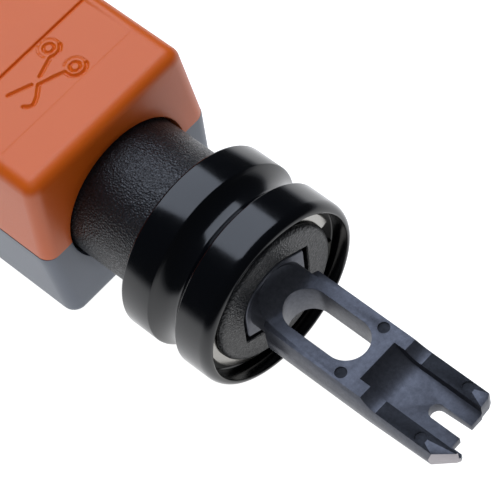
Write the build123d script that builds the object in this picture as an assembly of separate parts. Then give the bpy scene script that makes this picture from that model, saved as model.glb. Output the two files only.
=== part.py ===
"""Impact punch down tool: two-part handle, sprung plunger with twist-lock collar, 110-style blade.

Modelled about the tool's long axis: +X points from the handle to the blade's tip, x = 0 is the
handle's front face, z = 0 is the parting plane of the two handle shells. Each node is written in
the part's own frame: origin under the middle of the tool, on the plane that it rests on.
Millimetres throughout.
"""
from build123d import *
import math
import os

# ---- fits and clearances -------------------------------------------------------------------
RUNNING_GAP = 0.08          # radial, pieces that turn or slide on each other
FREE_GAP = 0.30             # pieces that pass without guiding each other
SEAT_GAP = 0.15             # axial, end faces that meet at a stop

# ---- handle --------------------------------------------------------------------------------
HANDLE_LENGTH = 115.0       # front face to butt face of the shells
HANDLE_HALF_WIDTH = 12.2    # at the parting plane, front block
WAIST_HALF_WIDTH = HANDLE_HALF_WIDTH - 0.5      # at the parting plane, under the fingers
PALM_HALF_WIDTH = HANDLE_HALF_WIDTH + 0.5       # at the parting plane, swell in the palm
TOP_HEIGHT = 12.5           # parting plane to the top face, front block
WAIST_HEIGHT = TOP_HEIGHT - 0.2
PALM_HEIGHT = TOP_HEIGHT + 0.8
BOTTOM_DEPTH = 12.5         # parting plane to the flat underside
DRAFT = 0.9                 # each side leans in by this much over a shell's height
FRONT_BLOCK = 28.0          # straight length behind the front face
WAIST_AT = 55.0             # waist and palm stations, back from the front face
PALM_AT = HANDLE_LENGTH - 25.0
LONG_EDGE_R = 1.7           # rounding along the shells' long edges
FRONT_EDGE_R = 1.6          # rounding round the upper shell's front face
LOWER_FRONT_R = 1.6
BUTT_EDGE_R = 1.6
FOOT_SHAVE = 0.02           # taken off the underside so that it is one true plane
WALL = 2.5                  # front wall
BUTT_WALL = 4.0
SIDE_WALL = 2.3             # at the parting plane, under the fingers
FLOOR_WALL = 2.6            # roof and floor
CAVITY_HALF_WIDTH = WAIST_HALF_WIDTH - SIDE_WALL
CAVITY_HALF_HEIGHT = min(TOP_HEIGHT, BOTTOM_DEPTH) - FLOOR_WALL
CAVITY_CORNER_R = 2.5
LAND_LENGTH = 5.85          # flat land ahead of the grip recess on the top face
RECESS_HALF_WIDTH = HANDLE_HALF_WIDTH - 2.4
RECESS_DEPTH = 0.7
RECESS_RAMP = 22.0          # length over which the recess comes to its full depth
RECESS_END = HANDLE_LENGTH - 15.0
PANEL_LINE_AT = 13.1        # scored line that closes the icon panel
PEN_WIDTH = 0.42            # width of the scored line and of the icon's strokes
PEN_DEPTH = 0.3

# ---- barrel (plunger body) -----------------------------------------------------------------
BARREL_R = 8.2
BARREL_WALL = 1.0
BARREL_BORE_R = BARREL_R - BARREL_WALL
STROKE = 9.0                # plunger travel into the handle
PARK_GAP = 0.75             # left between collar and handle at full stroke
COLLAR_BACK_X = STROKE + PARK_GAP
NOSE_X = COLLAR_BACK_X + 11.65      # front face of the barrel at rest
NOSE_WALL = 3.0
NOSE_EDGE_R = 0.7
FLANGE_REAR_X = -16.0
FLANGE_THICK = 4.0
FLANGE_GAP = 0.4            # flange to the cavity's walls
FLANGE_HALF_WIDTH = CAVITY_HALF_WIDTH - FLANGE_GAP
FLANGE_HALF_HEIGHT = CAVITY_HALF_HEIGHT - FLANGE_GAP

# ---- lens-shaped bayonet window ------------------------------------------------------------
WINDOW_TIP_R = BARREL_BORE_R - 1.34
WINDOW_R = WINDOW_TIP_R - 1.01
WING_ANGLE = 29.0           # the two tips lie on a line turned this far about the tool's axis
WING_GAP = 0.45             # wings to the window's round sides
WING_R = WINDOW_R - WING_GAP
WING_TIP_R = WINDOW_TIP_R - 0.51
WING_TIP_ROUND = 0.45

# ---- collar and lock -----------------------------------------------------------------------
COLLAR_FRONT_X = NOSE_X + 0.65
COLLAR_R = BARREL_R + 2.8
COLLAR_BACK_ROUND = 0.35
COLLAR_FRONT_ROUND = 1.25
BACK_FLANGE_END_X = COLLAR_BACK_X + 3.95
WAIST_LOW_X = COLLAR_BACK_X + 6.55
WAIST_LOW_R = COLLAR_R - 1.4
WAIST_CURVE = (1.3, 0.42)   # a point of the hollow waist, on from the flange and out from its floor
WAIST_RISE = 0.25           # the waist's floor climbs this much to the shoulder
SHOULDER_X = COLLAR_BACK_X + 7.7
RIM_INNER_R = COLLAR_R - 0.95
EDGE_BREAK = 0.12           # small chamfers on the collar
COUNTERBORE_X = NOSE_X - 1.6
COLLAR_TURN = 60.0
TURN_MARGIN = 8.0           # extra slot length past each end of the turn, degrees
SLOT_TURN = COLLAR_TURN + 2 * TURN_MARGIN
RING_THICK = 0.8
RING_OUTER_R = RIM_INNER_R - 0.7
RING_GROOVE_R = BARREL_R - 0.45
RING_GAP = 24.0             # opening of the snap ring, degrees
LOCK_RING_BACK_X = NOSE_X - 7.3
LOCK_RING_FRONT_X = NOSE_X - NOSE_WALL - 0.1
LOCK_RING_R = BARREL_BORE_R - RUNNING_GAP
PIN_R = 0.75
PIN_X = NOSE_X - 5.2
PIN_INNER_R = WINDOW_R + 1.05
PIN_OUTER_R = WAIST_LOW_R - 0.4
SLOT_SIDE_GAP = 0.2
BALL_R = 0.9
BALL_X = NOSE_X - 9.2
BALL_CENTRE_R = BARREL_BORE_R + 0.55
BALL_HOLE_GAP = 0.05
BALL_GROOVE_GAP = 0.12
BALL_POCKET_R = WINDOW_R + 0.45     # floor of the ball spring's pocket
BALL_COIL_R = 0.55
BALL_WIRE_R = 0.14
BALL_TURNS = 2.5

# ---- inside the barrel ---------------------------------------------------------------------
SLEEVE_FRONT_X = LOCK_RING_BACK_X - 0.1
SLEEVE_R = BARREL_BORE_R
LUG_THICK = 1.8
LUG_POCKET = 2.1
SHANK_R = 3.0
SHANK_END_X = NOSE_X - 20.4
NECK_GAP = 0.8              # blade's neck inside the round sides of its wings
NECK_R = WING_R - NECK_GAP
ROD_R = 3.0
ROD_HEAD_R = 4.5
ROD_HEAD_FRONT_X = -4.0
CROSS_PIN_R = 1.2
CROSS_PIN_X = -9.5
CROSS_PIN_SHORT = 0.6       # each end of the pin stays this far under the sleeve's skin

# ---- blade ---------------------------------------------------------------------------------
BOSS_R = WING_R - 0.55      # round boss between the wings and the block
BLOCK_REAR_X = NOSE_X + 1.9
FLARE_END_X = BLOCK_REAR_X + 1.0    # the boss runs down to the block's top and underside by here
BLADE_TOP = 1.53
BLADE_BOTTOM = -2.5
BLADE_HALF_TOP = 4.18
BLADE_HALF_MID = 4.62
BLADE_HALF_BOTTOM = 4.3
BLADE_MID_Z = -0.4
SLOT_REAR_X = BLOCK_REAR_X + 2.5
SLOT_FRONT_X = SLOT_REAR_X + 5.42
SLOT_R = 2.51
MARK_R = 0.66
MARK_DEPTH = 0.12
MARK_REAR_X = SLOT_FRONT_X + 2.09
MARK_REAR_Y = 3.26
MARK_FRONT_X = MARK_REAR_X + 10.74
MARK_FRONT_Y = 3.58
CHANNEL_REAR_X = MARK_REAR_X + 1.96
CHANNEL_HALF = 2.62
STEP_X = CHANNEL_REAR_X + 1.42
RAIL_TOP = 0.79
FORK_TOP = -0.34
FORK_FRONT_X = STEP_X + 9.96
NOTCH_HALF = 0.87
NOTCH_ROOT_X = FORK_FRONT_X - 3.7
RAIL_END_X = FORK_FRONT_X - 0.6
CUTTER_OUTER_X = FORK_FRONT_X - 1.16
CUTTER_INNER_X = FORK_FRONT_X + 1.25
TIP_X = FORK_FRONT_X + 1.5
UNDER_RAMP_X = STEP_X + 0.81
TIP_BOTTOM = -1.05
RAIL_CURVE_R = 3.2          # hollow curve from the step down to each rail
CHANNEL_CURVE_R = 4.0       # hollow curve from the block's top down to the fork
BLOCK_REAR_R = 1.4          # upright rear corners of the block
FORK_EDGE_Y = -2.1          # side of the tine next to the cutter

# ---- impact mechanism ----------------------------------------------------------------------
STOP_RIB_GAP = SEAT_GAP     # barrel flange to its stop rib
RIB_THICK = 2.5
SPRING_ROOM = 9.0           # left for the return spring at full stroke
SPRING_RIB_FRONT_X = FLANGE_REAR_X - STROKE - SPRING_ROOM
ROD_END_X = SPRING_RIB_FRONT_X - 12.0
HAMMER_R = 7.0
HAMMER_FRONT_X = ROD_END_X + 1.0
HAMMER_REAR_X = HAMMER_FRONT_X - 27.0
HAMMER_BORE_R = ROD_R + FREE_GAP
HAMMER_BORE_DEPTH = STROKE + 5.0
GUIDE_RIB_XS = (HAMMER_FRONT_X - 17.0, HAMMER_FRONT_X - 26.0)
GUIDE_RIB_THICK = 2.0
LATCH_THICK = 3.0
LATCH_HALF_WIDTH = 4.0
LATCH_TOP = HAMMER_R + 1.4
LATCH_BOTTOM = -3.4
LATCH_DROP = 1.6            # travel of the latch over the plunger's stroke
LATCH_SLOT_FLOOR = 0.3 - HAMMER_R
LATCH_FLAT = HAMMER_R - 1.1         # floor of the flat along the hammer's top
RAMP_HALF_WIDTH = 3.5
RAMP_FRONT_X = ROD_END_X + 2.0
RAMP_REAR_X = ROD_END_X - STROKE - 4.5
SEAT_FRONT_X = 18.0 - HANDLE_LENGTH
SEAT_THICK = 3.0
SCREW_R = 3.0
SCREW_FRONT_X = SEAT_FRONT_X + 4.0
CLIP_THICK = 0.8
CLIP_OUTER_R = 5.0
CLIP_GROOVE_R = 2.5
CLIP_MOUTH = 1.6            # half width of the clip's opening
KNOB_R = 9.5
KNOB_LENGTH = 9.8
KNOB_GAP = 0.2
KNOB_ROUND = 2.2
KNOB_FRONT_ROUND = 0.5
KNOB_FLUTES = 16
KNOB_FLUTE_R = 1.1
KNOB_FLUTE_OUT = 0.6        # flute centres stand this far outside the knob
KNOB_PLAIN = 2.0            # plain band ahead of the flutes
KNOB_PIN_R = 0.9
KNOB_PIN_BACK = 4.0         # from the knob's front face to the pin
KNOB_PIN_SHORT = 2.5        # each end of the pin stays this far under the knob's skin
RETURN_COIL_R = 5.2
RETURN_WIRE_R = 0.5
RETURN_TURNS = 7
MAIN_COIL_R = 5.4
MAIN_WIRE_R = 0.75
MAIN_TURNS = 7
LATCH_COIL_R = 1.1
LATCH_WIRE_R = 0.2
LATCH_TURNS = 3
ROD_CHAMFER = 0.4

# ---- shell screws --------------------------------------------------------------------------
BOSS_ROWS_X = (SPRING_RIB_FRONT_X - 5.5, 9.5 - HANDLE_LENGTH)
BOSS_Y = CAVITY_HALF_WIDTH - 2.5
UPPER_BOSS_R = 2.7
LOWER_BOSS_R = 3.5
SHELL_SCREW_R = 1.4
SHELL_HEAD_R = 2.5
SHELL_HEAD_THICK = 1.6
SHELL_HEAD_GAP = 0.2
SHELL_SHANK_GAP = 0.15
SHELL_HEAD_SEAT_Z = 4.5 - BOTTOM_DEPTH
SHELL_SCREW_TOP_Z = 6.0
SHELL_BOSS_TOP_Z = 8.0
DRIVE_HALF = 1.5            # cross recess: half length, half width, depth
DRIVE_WIDE = 0.3
DRIVE_DEEP = 0.9

KNOB_FRONT_X = -HANDLE_LENGTH - KNOB_GAP
SCREW_REAR_X = KNOB_FRONT_X - 5.8
BUTT_X = KNOB_FRONT_X - KNOB_LENGTH
PAST = 1.0                  # cutting bodies run on past the faces that they cut
MID_X = (BUTT_X + TIP_X) / 2
TO_PART_FRAME = Pos(-MID_X, 0, BOTTOM_DEPTH)
ALONG = Rot(0, 90, 0)


def section_plane(x):
    """Plane across the tool at x: its first axis is +Y and its second is +Z."""
    return Plane(origin=(x, 0, 0), x_dir=(0, 1, 0), z_dir=(1, 0, 0))


def rod(r, x0, x1):
    """Solid cylinder on the tool's axis from x0 to x1."""
    return Pos(x0, 0, 0) * ALONG * Cylinder(r, x1 - x0, align=(Align.CENTER, Align.CENTER, Align.MIN))


def tube(r_out, r_in, x0, x1):
    return rod(r_out, x0, x1) - rod(r_in, x0, x1)


def block(x0, x1, y0, y1, z0, z1):
    return Pos((x0 + x1) / 2, (y0 + y1) / 2, (z0 + z1) / 2) * Box(x1 - x0, y1 - y0, z1 - z0)


def post(r, x, y, z0, z1):
    """Solid cylinder along Z."""
    return Pos(x, y, z0) * Cylinder(r, z1 - z0, align=(Align.CENTER, Align.CENTER, Align.MIN))


def radial_pin(r, x, r0, r1, angle):
    """Solid cylinder along a radius at x, from r0 to r1, angle in degrees from +Y towards +Z."""
    pin = Cylinder(r, r1 - r0, align=(Align.CENTER, Align.CENTER, Align.MIN))
    return Rot(angle, 0, 0) * Pos(x, r0, 0) * Rot(-90, 0, 0) * pin


def cross_section(face, x0, x1):
    """Extrude a face drawn in (Y, Z) from x0 to x1."""
    return extrude(section_plane(x0) * face, amount=x1 - x0)


def turned(outline):
    """Revolve a closed outline of (x, r) edges about the tool's axis."""
    return revolve(make_face(outline), Axis.X, 360)


def arc_slot(r0, r1, x_mid, half_width, start, turn):
    """Ring sector: start and turn in degrees from +Y towards +Z."""
    wall = Pos(x_mid, (r0 + r1) / 2) * Rectangle(2 * half_width, r1 - r0)
    return Rot(start, 0, 0) * revolve(wall, Axis.X, turn)


def lens(r, tip_r, tip_round=0.0):
    """Round opening or boss with two opposite tips, drawn in (Y, Z) and turned to the wing angle."""
    reach = math.acos(r / tip_r)
    side = (r * math.cos(reach), r * math.sin(reach))
    points = [(tip_r, 0), side, (-side[0], side[1]), (-tip_r, 0), (-side[0], -side[1]), (side[0], -side[1])]
    wedge = make_face(Polyline(*points, close=True))
    if tip_round:
        tips = [v for v in wedge.vertices() if abs(v.X) > r]
        wedge = fillet(tips, tip_round)
    return Rot(0, 0, WING_ANGLE) * (wedge + Circle(r))


def coil(radius, wire, x0, x1, turns):
    """Open helical spring on the tool's axis that fills x0 to x1."""
    pitch = (x1 - x0 - 2 * wire) / turns
    path = Helix(pitch, pitch * turns, radius)
    start = Plane(origin=path @ 0, z_dir=path % 0)
    return Pos(x0 + wire, 0, 0) * ALONG * sweep(start * Circle(wire), path=path, is_frenet=True)


# ---- handle shells -------------------------------------------------------------------------
def shell_section(half_width, reach, edge_r):
    """Half of the handle's section, from the parting plane to reach above it."""
    top = half_width - DRAFT
    points = [(-half_width, 0), (half_width, 0), (top, reach), (-top, reach)]
    face = make_face(Polyline(*points, close=True))
    return fillet([v for v in face.vertices() if v.Y > reach / 2], edge_r)


def shell_body(front_h, waist_h, palm_h, front_r, side):
    """Outer form of one shell; side is +1 for the upper and -1 for the lower."""
    stations = [
        (0, HANDLE_HALF_WIDTH, front_h),
        (FRONT_BLOCK / 2, HANDLE_HALF_WIDTH, front_h),
        (FRONT_BLOCK, HANDLE_HALF_WIDTH, front_h),
        (WAIST_AT, WAIST_HALF_WIDTH, waist_h),
        (PALM_AT, PALM_HALF_WIDTH, palm_h),
        (HANDLE_LENGTH, HANDLE_HALF_WIDTH, front_h),
    ]
    flip = Rot(180, 0, 0) if side < 0 else Rot(0, 0, 0)
    body = loft([section_plane(-x) * shell_section(w, h, LONG_EDGE_R) for x, w, h in stations])
    front = body.faces().sort_by(Axis.X)[-1].edges().filter_by(lambda e: e.center().Z > 0.01)
    body = fillet(front, front_r)
    butt = body.faces().sort_by(Axis.X)[0].edges().filter_by(lambda e: e.center().Z > 0.01)
    return flip * fillet(butt, BUTT_EDGE_R)


def cavity():
    """Space inside both shells, before ribs."""
    face = RectangleRounded(2 * CAVITY_HALF_WIDTH, 2 * CAVITY_HALF_HEIGHT, CAVITY_CORNER_R)
    return cross_section(face, BUTT_WALL - HANDLE_LENGTH, -WALL)


def half_room(side):
    """Space inside one shell: side is +1 for the upper and -1 for the lower."""
    low, high = sorted((0, side * CAVITY_HALF_HEIGHT))
    return block(-HANDLE_LENGTH, 0, -CAVITY_HALF_WIDTH, CAVITY_HALF_WIDTH, low, high)


def end_holes():
    """Barrel hole through the front wall and screw hole through the butt wall."""
    barrel_hole = rod(BARREL_R + FREE_GAP, -WALL - PAST, PAST)
    return barrel_hole + rod(SCREW_R + RUNNING_GAP, -HANDLE_LENGTH - PAST, BUTT_WALL - HANDLE_LENGTH + PAST)


def rib(front_x, thick, hole_r):
    """Moulded wall across the whole cavity with a guide hole on the axis."""
    face = RectangleRounded(2 * CAVITY_HALF_WIDTH, 2 * CAVITY_HALF_HEIGHT, CAVITY_CORNER_R)
    return cross_section(face, front_x - thick, front_x) - rod(hole_r, front_x - thick - PAST, front_x + PAST)


def ribs():
    barrel_hole = BARREL_R + FREE_GAP
    stop_front = FLANGE_REAR_X + FLANGE_THICK + STOP_RIB_GAP + RIB_THICK
    return [
        rib(stop_front, RIB_THICK, barrel_hole),
        rib(SPRING_RIB_FRONT_X, RIB_THICK, ROD_R + FREE_GAP),
        rib(GUIDE_RIB_XS[0], GUIDE_RIB_THICK, HAMMER_R + RUNNING_GAP),
        rib(GUIDE_RIB_XS[1], GUIDE_RIB_THICK, HAMMER_R + RUNNING_GAP),
    ]


def ring_path(x, y, r, start, turn):
    """Points of an arc in plan; angles in degrees from +X towards +Y."""
    steps = math.ceil(abs(turn) / 24)
    angles = [math.radians(start + turn * i / steps) for i in range(steps + 1)]
    return [(x + r * math.cos(a), y + r * math.sin(a)) for a in angles]


FINGER_R, FINGER_HOLE_R = 1.22, 0.58
REAR_RING, FRONT_RING = (-11.58, 2.98), (-7.6, 2.96)
ICON_INTO_RAMP = 0.17       # share of the recess's full depth that is reached under the icon
ICON_PATHS = [
    ring_path(*REAR_RING, FINGER_HOLE_R, 0, 360),
    ring_path(*FRONT_RING, FINGER_HOLE_R, 0, 360),
    ring_path(*REAR_RING, FINGER_R, 130, -164) + [(-9.72, -0.18)],
    ring_path(*FRONT_RING, FINGER_R, 80, -188) + [(-8.48, 0.67), (-9.08, -1.01)],
    [(-9.08, -1.01), (-8.72, -1.48), (-8.23, -2.04), (-7.87, -2.7), (-7.8, -3.36), (-8.39, -3.96)],
    [(-9.68, -1.49), (-10.73, -3.93)],
]


def icon_cut():
    """Plain scissors symbol that marks the blade's cutting side, as a shallow engraving."""
    lines = Sketch()
    for path in ICON_PATHS:
        for a, b in zip(path, path[1:]):
            run = math.hypot(b[0] - a[0], b[1] - a[1])
            turn = math.degrees(math.atan2(b[1] - a[1], b[0] - a[0]))
            middle = Pos((a[0] + b[0]) / 2, (a[1] + b[1]) / 2)
            lines += middle * Rot(0, 0, turn) * SlotCenterToCenter(run, PEN_WIDTH)
    floor = TOP_HEIGHT - RECESS_DEPTH * ICON_INTO_RAMP - PEN_DEPTH
    return extrude(Pos(0, 0, floor) * lines, amount=PEN_DEPTH + PAST)


def grip_recess():
    """Shallow ramped recess in the top face, from behind the land to the palm."""
    points = [
        (-LAND_LENGTH, TOP_HEIGHT),
        (-LAND_LENGTH - RECESS_RAMP, TOP_HEIGHT - RECESS_DEPTH),
        (-WAIST_AT, WAIST_HEIGHT - RECESS_DEPTH),
        (-RECESS_END, PALM_HEIGHT + PAST),
        (-LAND_LENGTH, PALM_HEIGHT + PAST),
    ]
    face = Plane.XZ * make_face(Polyline(*points, close=True))
    return extrude(face, amount=RECESS_HALF_WIDTH, both=True)


def upper_shell():
    shell = shell_body(TOP_HEIGHT, WAIST_HEIGHT, PALM_HEIGHT, FRONT_EDGE_R, 1)
    shell -= grip_recess()
    line_x = -PANEL_LINE_AT
    line_z = TOP_HEIGHT - RECESS_DEPTH * (PANEL_LINE_AT - LAND_LENGTH) / RECESS_RAMP - PEN_DEPTH
    shell -= block(line_x - PEN_WIDTH / 2, line_x + PEN_WIDTH / 2, -RECESS_HALF_WIDTH, RECESS_HALF_WIDTH,
                   line_z, TOP_HEIGHT + PAST)
    shell -= icon_cut()
    shell -= cavity()
    above = half_room(1)
    for wall in ribs():
        shell += wall & above
    for x in BOSS_ROWS_X:
        for y in (-BOSS_Y, BOSS_Y):
            boss = post(UPPER_BOSS_R, x, y, 0, CAVITY_HALF_HEIGHT)
            shell += boss & above
            shell -= post(SHELL_SCREW_R, x, y, 0, SHELL_BOSS_TOP_Z)
    return shell - end_holes()


def lower_shell():
    depth = BOTTOM_DEPTH + FOOT_SHAVE
    shell = shell_body(depth, depth, depth, LOWER_FRONT_R, -1)
    half = PALM_HALF_WIDTH + 5
    shell -= block(-HANDLE_LENGTH - PAST, PAST, -half, half, -depth - PAST, -BOTTOM_DEPTH)
    shell -= cavity()
    below = half_room(-1)
    for wall in ribs():
        shell += wall & below
    for x in BOSS_ROWS_X:
        for y in (-BOSS_Y, BOSS_Y):
            boss = post(LOWER_BOSS_R, x, y, -CAVITY_HALF_HEIGHT, 0)
            shell += boss & below
            shell -= post(SHELL_SCREW_R + SHELL_SHANK_GAP, x, y, -BOTTOM_DEPTH - PAST, PAST)
            shell -= post(SHELL_HEAD_R + SHELL_HEAD_GAP, x, y, -BOTTOM_DEPTH - PAST, SHELL_HEAD_SEAT_Z)
    return shell - end_holes()


def shell_screws():
    screws = []
    for x in BOSS_ROWS_X:
        for y in (-BOSS_Y, BOSS_Y):
            head = post(SHELL_HEAD_R, x, y, SHELL_HEAD_SEAT_Z - SHELL_HEAD_THICK, SHELL_HEAD_SEAT_Z)
            head = chamfer(head.edges().sort_by(Axis.Z)[0], ROD_CHAMFER)
            shank = post(SHELL_SCREW_R, x, y, SHELL_HEAD_SEAT_Z, SHELL_SCREW_TOP_Z)
            floor = SHELL_HEAD_SEAT_Z - SHELL_HEAD_THICK
            low, deep = floor - PAST, floor + DRIVE_DEEP
            cross = block(x - DRIVE_HALF, x + DRIVE_HALF, y - DRIVE_WIDE, y + DRIVE_WIDE, low, deep)
            cross += block(x - DRIVE_WIDE, x + DRIVE_WIDE, y - DRIVE_HALF, y + DRIVE_HALF, low, deep)
            screws.append(head + shank - cross)
    return screws


# ---- plunger -------------------------------------------------------------------------------
def barrel():
    body = rod(BARREL_R, FLANGE_REAR_X, NOSE_X)
    body = fillet(body.edges().sort_by(Axis.X)[-1], NOSE_EDGE_R)
    flange = RectangleRounded(2 * FLANGE_HALF_WIDTH, 2 * FLANGE_HALF_HEIGHT, CAVITY_CORNER_R)
    body += cross_section(flange, FLANGE_REAR_X, FLANGE_REAR_X + FLANGE_THICK)
    body -= rod(BARREL_BORE_R, FLANGE_REAR_X - PAST, NOSE_X - NOSE_WALL)
    body -= cross_section(lens(WINDOW_R, WINDOW_TIP_R), NOSE_X - NOSE_WALL - PAST, NOSE_X + PAST)
    body -= tube(BARREL_R + PAST, RING_GROOVE_R, COUNTERBORE_X, COUNTERBORE_X + RING_THICK)
    slot = PIN_R + SLOT_SIDE_GAP
    for start in (0, 180):
        angle = WING_ANGLE + 90 + start - TURN_MARGIN
        body -= arc_slot(BARREL_BORE_R - PAST, BARREL_R + PAST, PIN_X, slot, angle, SLOT_TURN)
    ball_hole_r = BALL_R + BALL_HOLE_GAP
    return body - radial_pin(ball_hole_r, BALL_X, BARREL_BORE_R - PAST, BARREL_R + PAST, WING_ANGLE + 90)


def socket_sleeve():
    sleeve = rod(SLEEVE_R, FLANGE_REAR_X, SLEEVE_FRONT_X)
    sleeve -= rod(SHANK_R + RUNNING_GAP, SHANK_END_X - PAST, SLEEVE_FRONT_X + PAST)
    sleeve -= cross_section(lens(WINDOW_R, WINDOW_TIP_R), SLEEVE_FRONT_X - LUG_POCKET, SLEEVE_FRONT_X + PAST)
    sleeve -= rod(ROD_HEAD_R, FLANGE_REAR_X - PAST, ROD_HEAD_FRONT_X)
    sleeve -= Pos(CROSS_PIN_X, 0, 0) * Rot(90, 0, 0) * Cylinder(CROSS_PIN_R, 4 * SLEEVE_R)
    return sleeve - radial_pin(BALL_R, BALL_X, BALL_POCKET_R, SLEEVE_R + PAST, WING_ANGLE + 90)


def anvil_rod():
    body = rod(ROD_HEAD_R, FLANGE_REAR_X, ROD_HEAD_FRONT_X) + rod(ROD_R, ROD_END_X, FLANGE_REAR_X)
    body = chamfer(body.edges().sort_by(Axis.X)[0], ROD_CHAMFER)
    return body - Pos(CROSS_PIN_X, 0, 0) * Rot(90, 0, 0) * Cylinder(CROSS_PIN_R, 4 * SLEEVE_R)


def cross_pin():
    return Pos(CROSS_PIN_X, 0, 0) * Rot(90, 0, 0) * Cylinder(CROSS_PIN_R, 2 * (SLEEVE_R - CROSS_PIN_SHORT))


def retaining_ring():
    ring = tube(RING_OUTER_R, RING_GROOVE_R, COUNTERBORE_X, COUNTERBORE_X + RING_THICK)
    middle = COUNTERBORE_X + RING_THICK / 2
    return ring - arc_slot(1, RING_OUTER_R + PAST, middle, RING_THICK, -RING_GAP / 2, RING_GAP)


def detent_ball():
    return Rot(WING_ANGLE + 90, 0, 0) * Pos(BALL_X, BALL_CENTRE_R, 0) * Sphere(BALL_R)


def detent_spring():
    length = BALL_CENTRE_R - BALL_R - BALL_POCKET_R
    spring = coil(BALL_COIL_R, BALL_WIRE_R, 0, length, BALL_TURNS)
    return Rot(WING_ANGLE + 90, 0, 0) * Pos(BALL_X, BALL_POCKET_R, 0) * Rot(0, 0, 90) * spring


def collar():
    back, front = COLLAR_BACK_X, COLLAR_FRONT_X
    bore = BARREL_R + RUNNING_GAP
    br, fr = COLLAR_BACK_ROUND, COLLAR_FRONT_ROUND
    k = math.sqrt(0.5)
    rim_face = RIM_INNER_R + EDGE_BREAK
    curve_x, curve_r = BACK_FLANGE_END_X + WAIST_CURVE[0], WAIST_LOW_R + WAIST_CURVE[1]
    floor_r = WAIST_LOW_R + WAIST_RISE
    outline = [
        Line((back, bore), (back, COLLAR_R - br)),
        ThreePointArc((back, COLLAR_R - br), (back + br * (1 - k), COLLAR_R - br * (1 - k)),
                      (back + br, COLLAR_R)),
        Line((back + br, COLLAR_R), (BACK_FLANGE_END_X, COLLAR_R)),
        ThreePointArc((BACK_FLANGE_END_X, COLLAR_R), (curve_x, curve_r), (WAIST_LOW_X, WAIST_LOW_R)),
        Line((WAIST_LOW_X, WAIST_LOW_R), (SHOULDER_X, floor_r)),
        Line((SHOULDER_X, floor_r), (SHOULDER_X, COLLAR_R - EDGE_BREAK)),
        Line((SHOULDER_X, COLLAR_R - EDGE_BREAK), (SHOULDER_X + EDGE_BREAK, COLLAR_R)),
        Line((SHOULDER_X + EDGE_BREAK, COLLAR_R), (front - fr, COLLAR_R)),
        ThreePointArc((front - fr, COLLAR_R), (front - fr + fr * k, rim_face + (COLLAR_R - rim_face) * k),
                      (front, rim_face)),
        Line((front, rim_face), (front - EDGE_BREAK, RIM_INNER_R)),
        Line((front - EDGE_BREAK, RIM_INNER_R), (COUNTERBORE_X, RIM_INNER_R)),
        Line((COUNTERBORE_X, RIM_INNER_R), (COUNTERBORE_X, bore)),
        Line((COUNTERBORE_X, bore), (back, bore)),
    ]
    body = turned(outline)
    for start in (0, 180):
        body -= radial_pin(PIN_R, PIN_X, BARREL_R - PAST, PIN_OUTER_R, WING_ANGLE + 90 + start)
    groove_r = BALL_CENTRE_R + BALL_R + BALL_GROOVE_GAP
    groove_start = WING_ANGLE + 90 - COLLAR_TURN - TURN_MARGIN
    half_width = BALL_R + BALL_GROOVE_GAP
    return body - arc_slot(BARREL_R - PAST, groove_r, BALL_X, half_width, groove_start, SLOT_TURN)


def lock_ring():
    ring = rod(LOCK_RING_R, LOCK_RING_BACK_X, LOCK_RING_FRONT_X)
    ring -= cross_section(lens(WINDOW_R, WINDOW_TIP_R), LOCK_RING_BACK_X - PAST, LOCK_RING_FRONT_X + PAST)
    for start in (0, 180):
        ring -= radial_pin(PIN_R, PIN_X, PIN_INNER_R, LOCK_RING_R + PAST, WING_ANGLE + 90 + start)
    return ring


def drive_pins():
    return [radial_pin(PIN_R, PIN_X, PIN_INNER_R, PIN_OUTER_R, WING_ANGLE + 90 + a) for a in (0, 180)]


# ---- blade ---------------------------------------------------------------------------------
def hollow(x, z_high, z_low, r):
    """Arc that leaves (x, z_high) steeply and runs out level at z_low; gives the edge and its end."""
    sign = 1 if z_high > z_low else -1
    drop = abs(z_high - z_low)
    run = math.sqrt(2 * r * drop - drop ** 2)
    half = math.asin(run / r) / 2
    middle = (x + run - r * math.sin(half), z_low + sign * r * (1 - math.cos(half)))
    return ThreePointArc((x, z_high), middle, (x + run, z_low)), x + run


def blade_side():
    """Blade block from the side: high rear land, hollow curve to the rails, ramped underside."""
    curve, foot_x = hollow(STEP_X, BLADE_TOP, RAIL_TOP, RAIL_CURVE_R)
    return make_face([
        Line((BLOCK_REAR_X, BLADE_BOTTOM), (BLOCK_REAR_X, BLADE_TOP)),
        Line((BLOCK_REAR_X, BLADE_TOP), (STEP_X, BLADE_TOP)),
        curve,
        Line((foot_x, RAIL_TOP), (TIP_X, RAIL_TOP)),
        Line((TIP_X, RAIL_TOP), (TIP_X, TIP_BOTTOM)),
        Line((TIP_X, TIP_BOTTOM), (UNDER_RAMP_X, BLADE_BOTTOM)),
        Line((UNDER_RAMP_X, BLADE_BOTTOM), (BLOCK_REAR_X, BLADE_BOTTOM)),
    ])


def boss(back):
    """Round boss in front of the wings that hollows down to the block's top and underside."""
    run = FLARE_END_X - back
    edges = [
        Line((back, -BOSS_R), (back, BOSS_R)),
        Line((FLARE_END_X, BLADE_BOTTOM), (FLARE_END_X, BLADE_TOP)),
    ]
    for high, low in ((BOSS_R, BLADE_TOP), (-BOSS_R, BLADE_BOTTOM)):
        drop = abs(high - low)
        edges.append(hollow(back, high, low, (run ** 2 + drop ** 2) / (2 * drop))[0])
    return extrude(Plane.XZ * make_face(edges), amount=BOSS_R, both=True) & rod(BOSS_R, back, FLARE_END_X)


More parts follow.
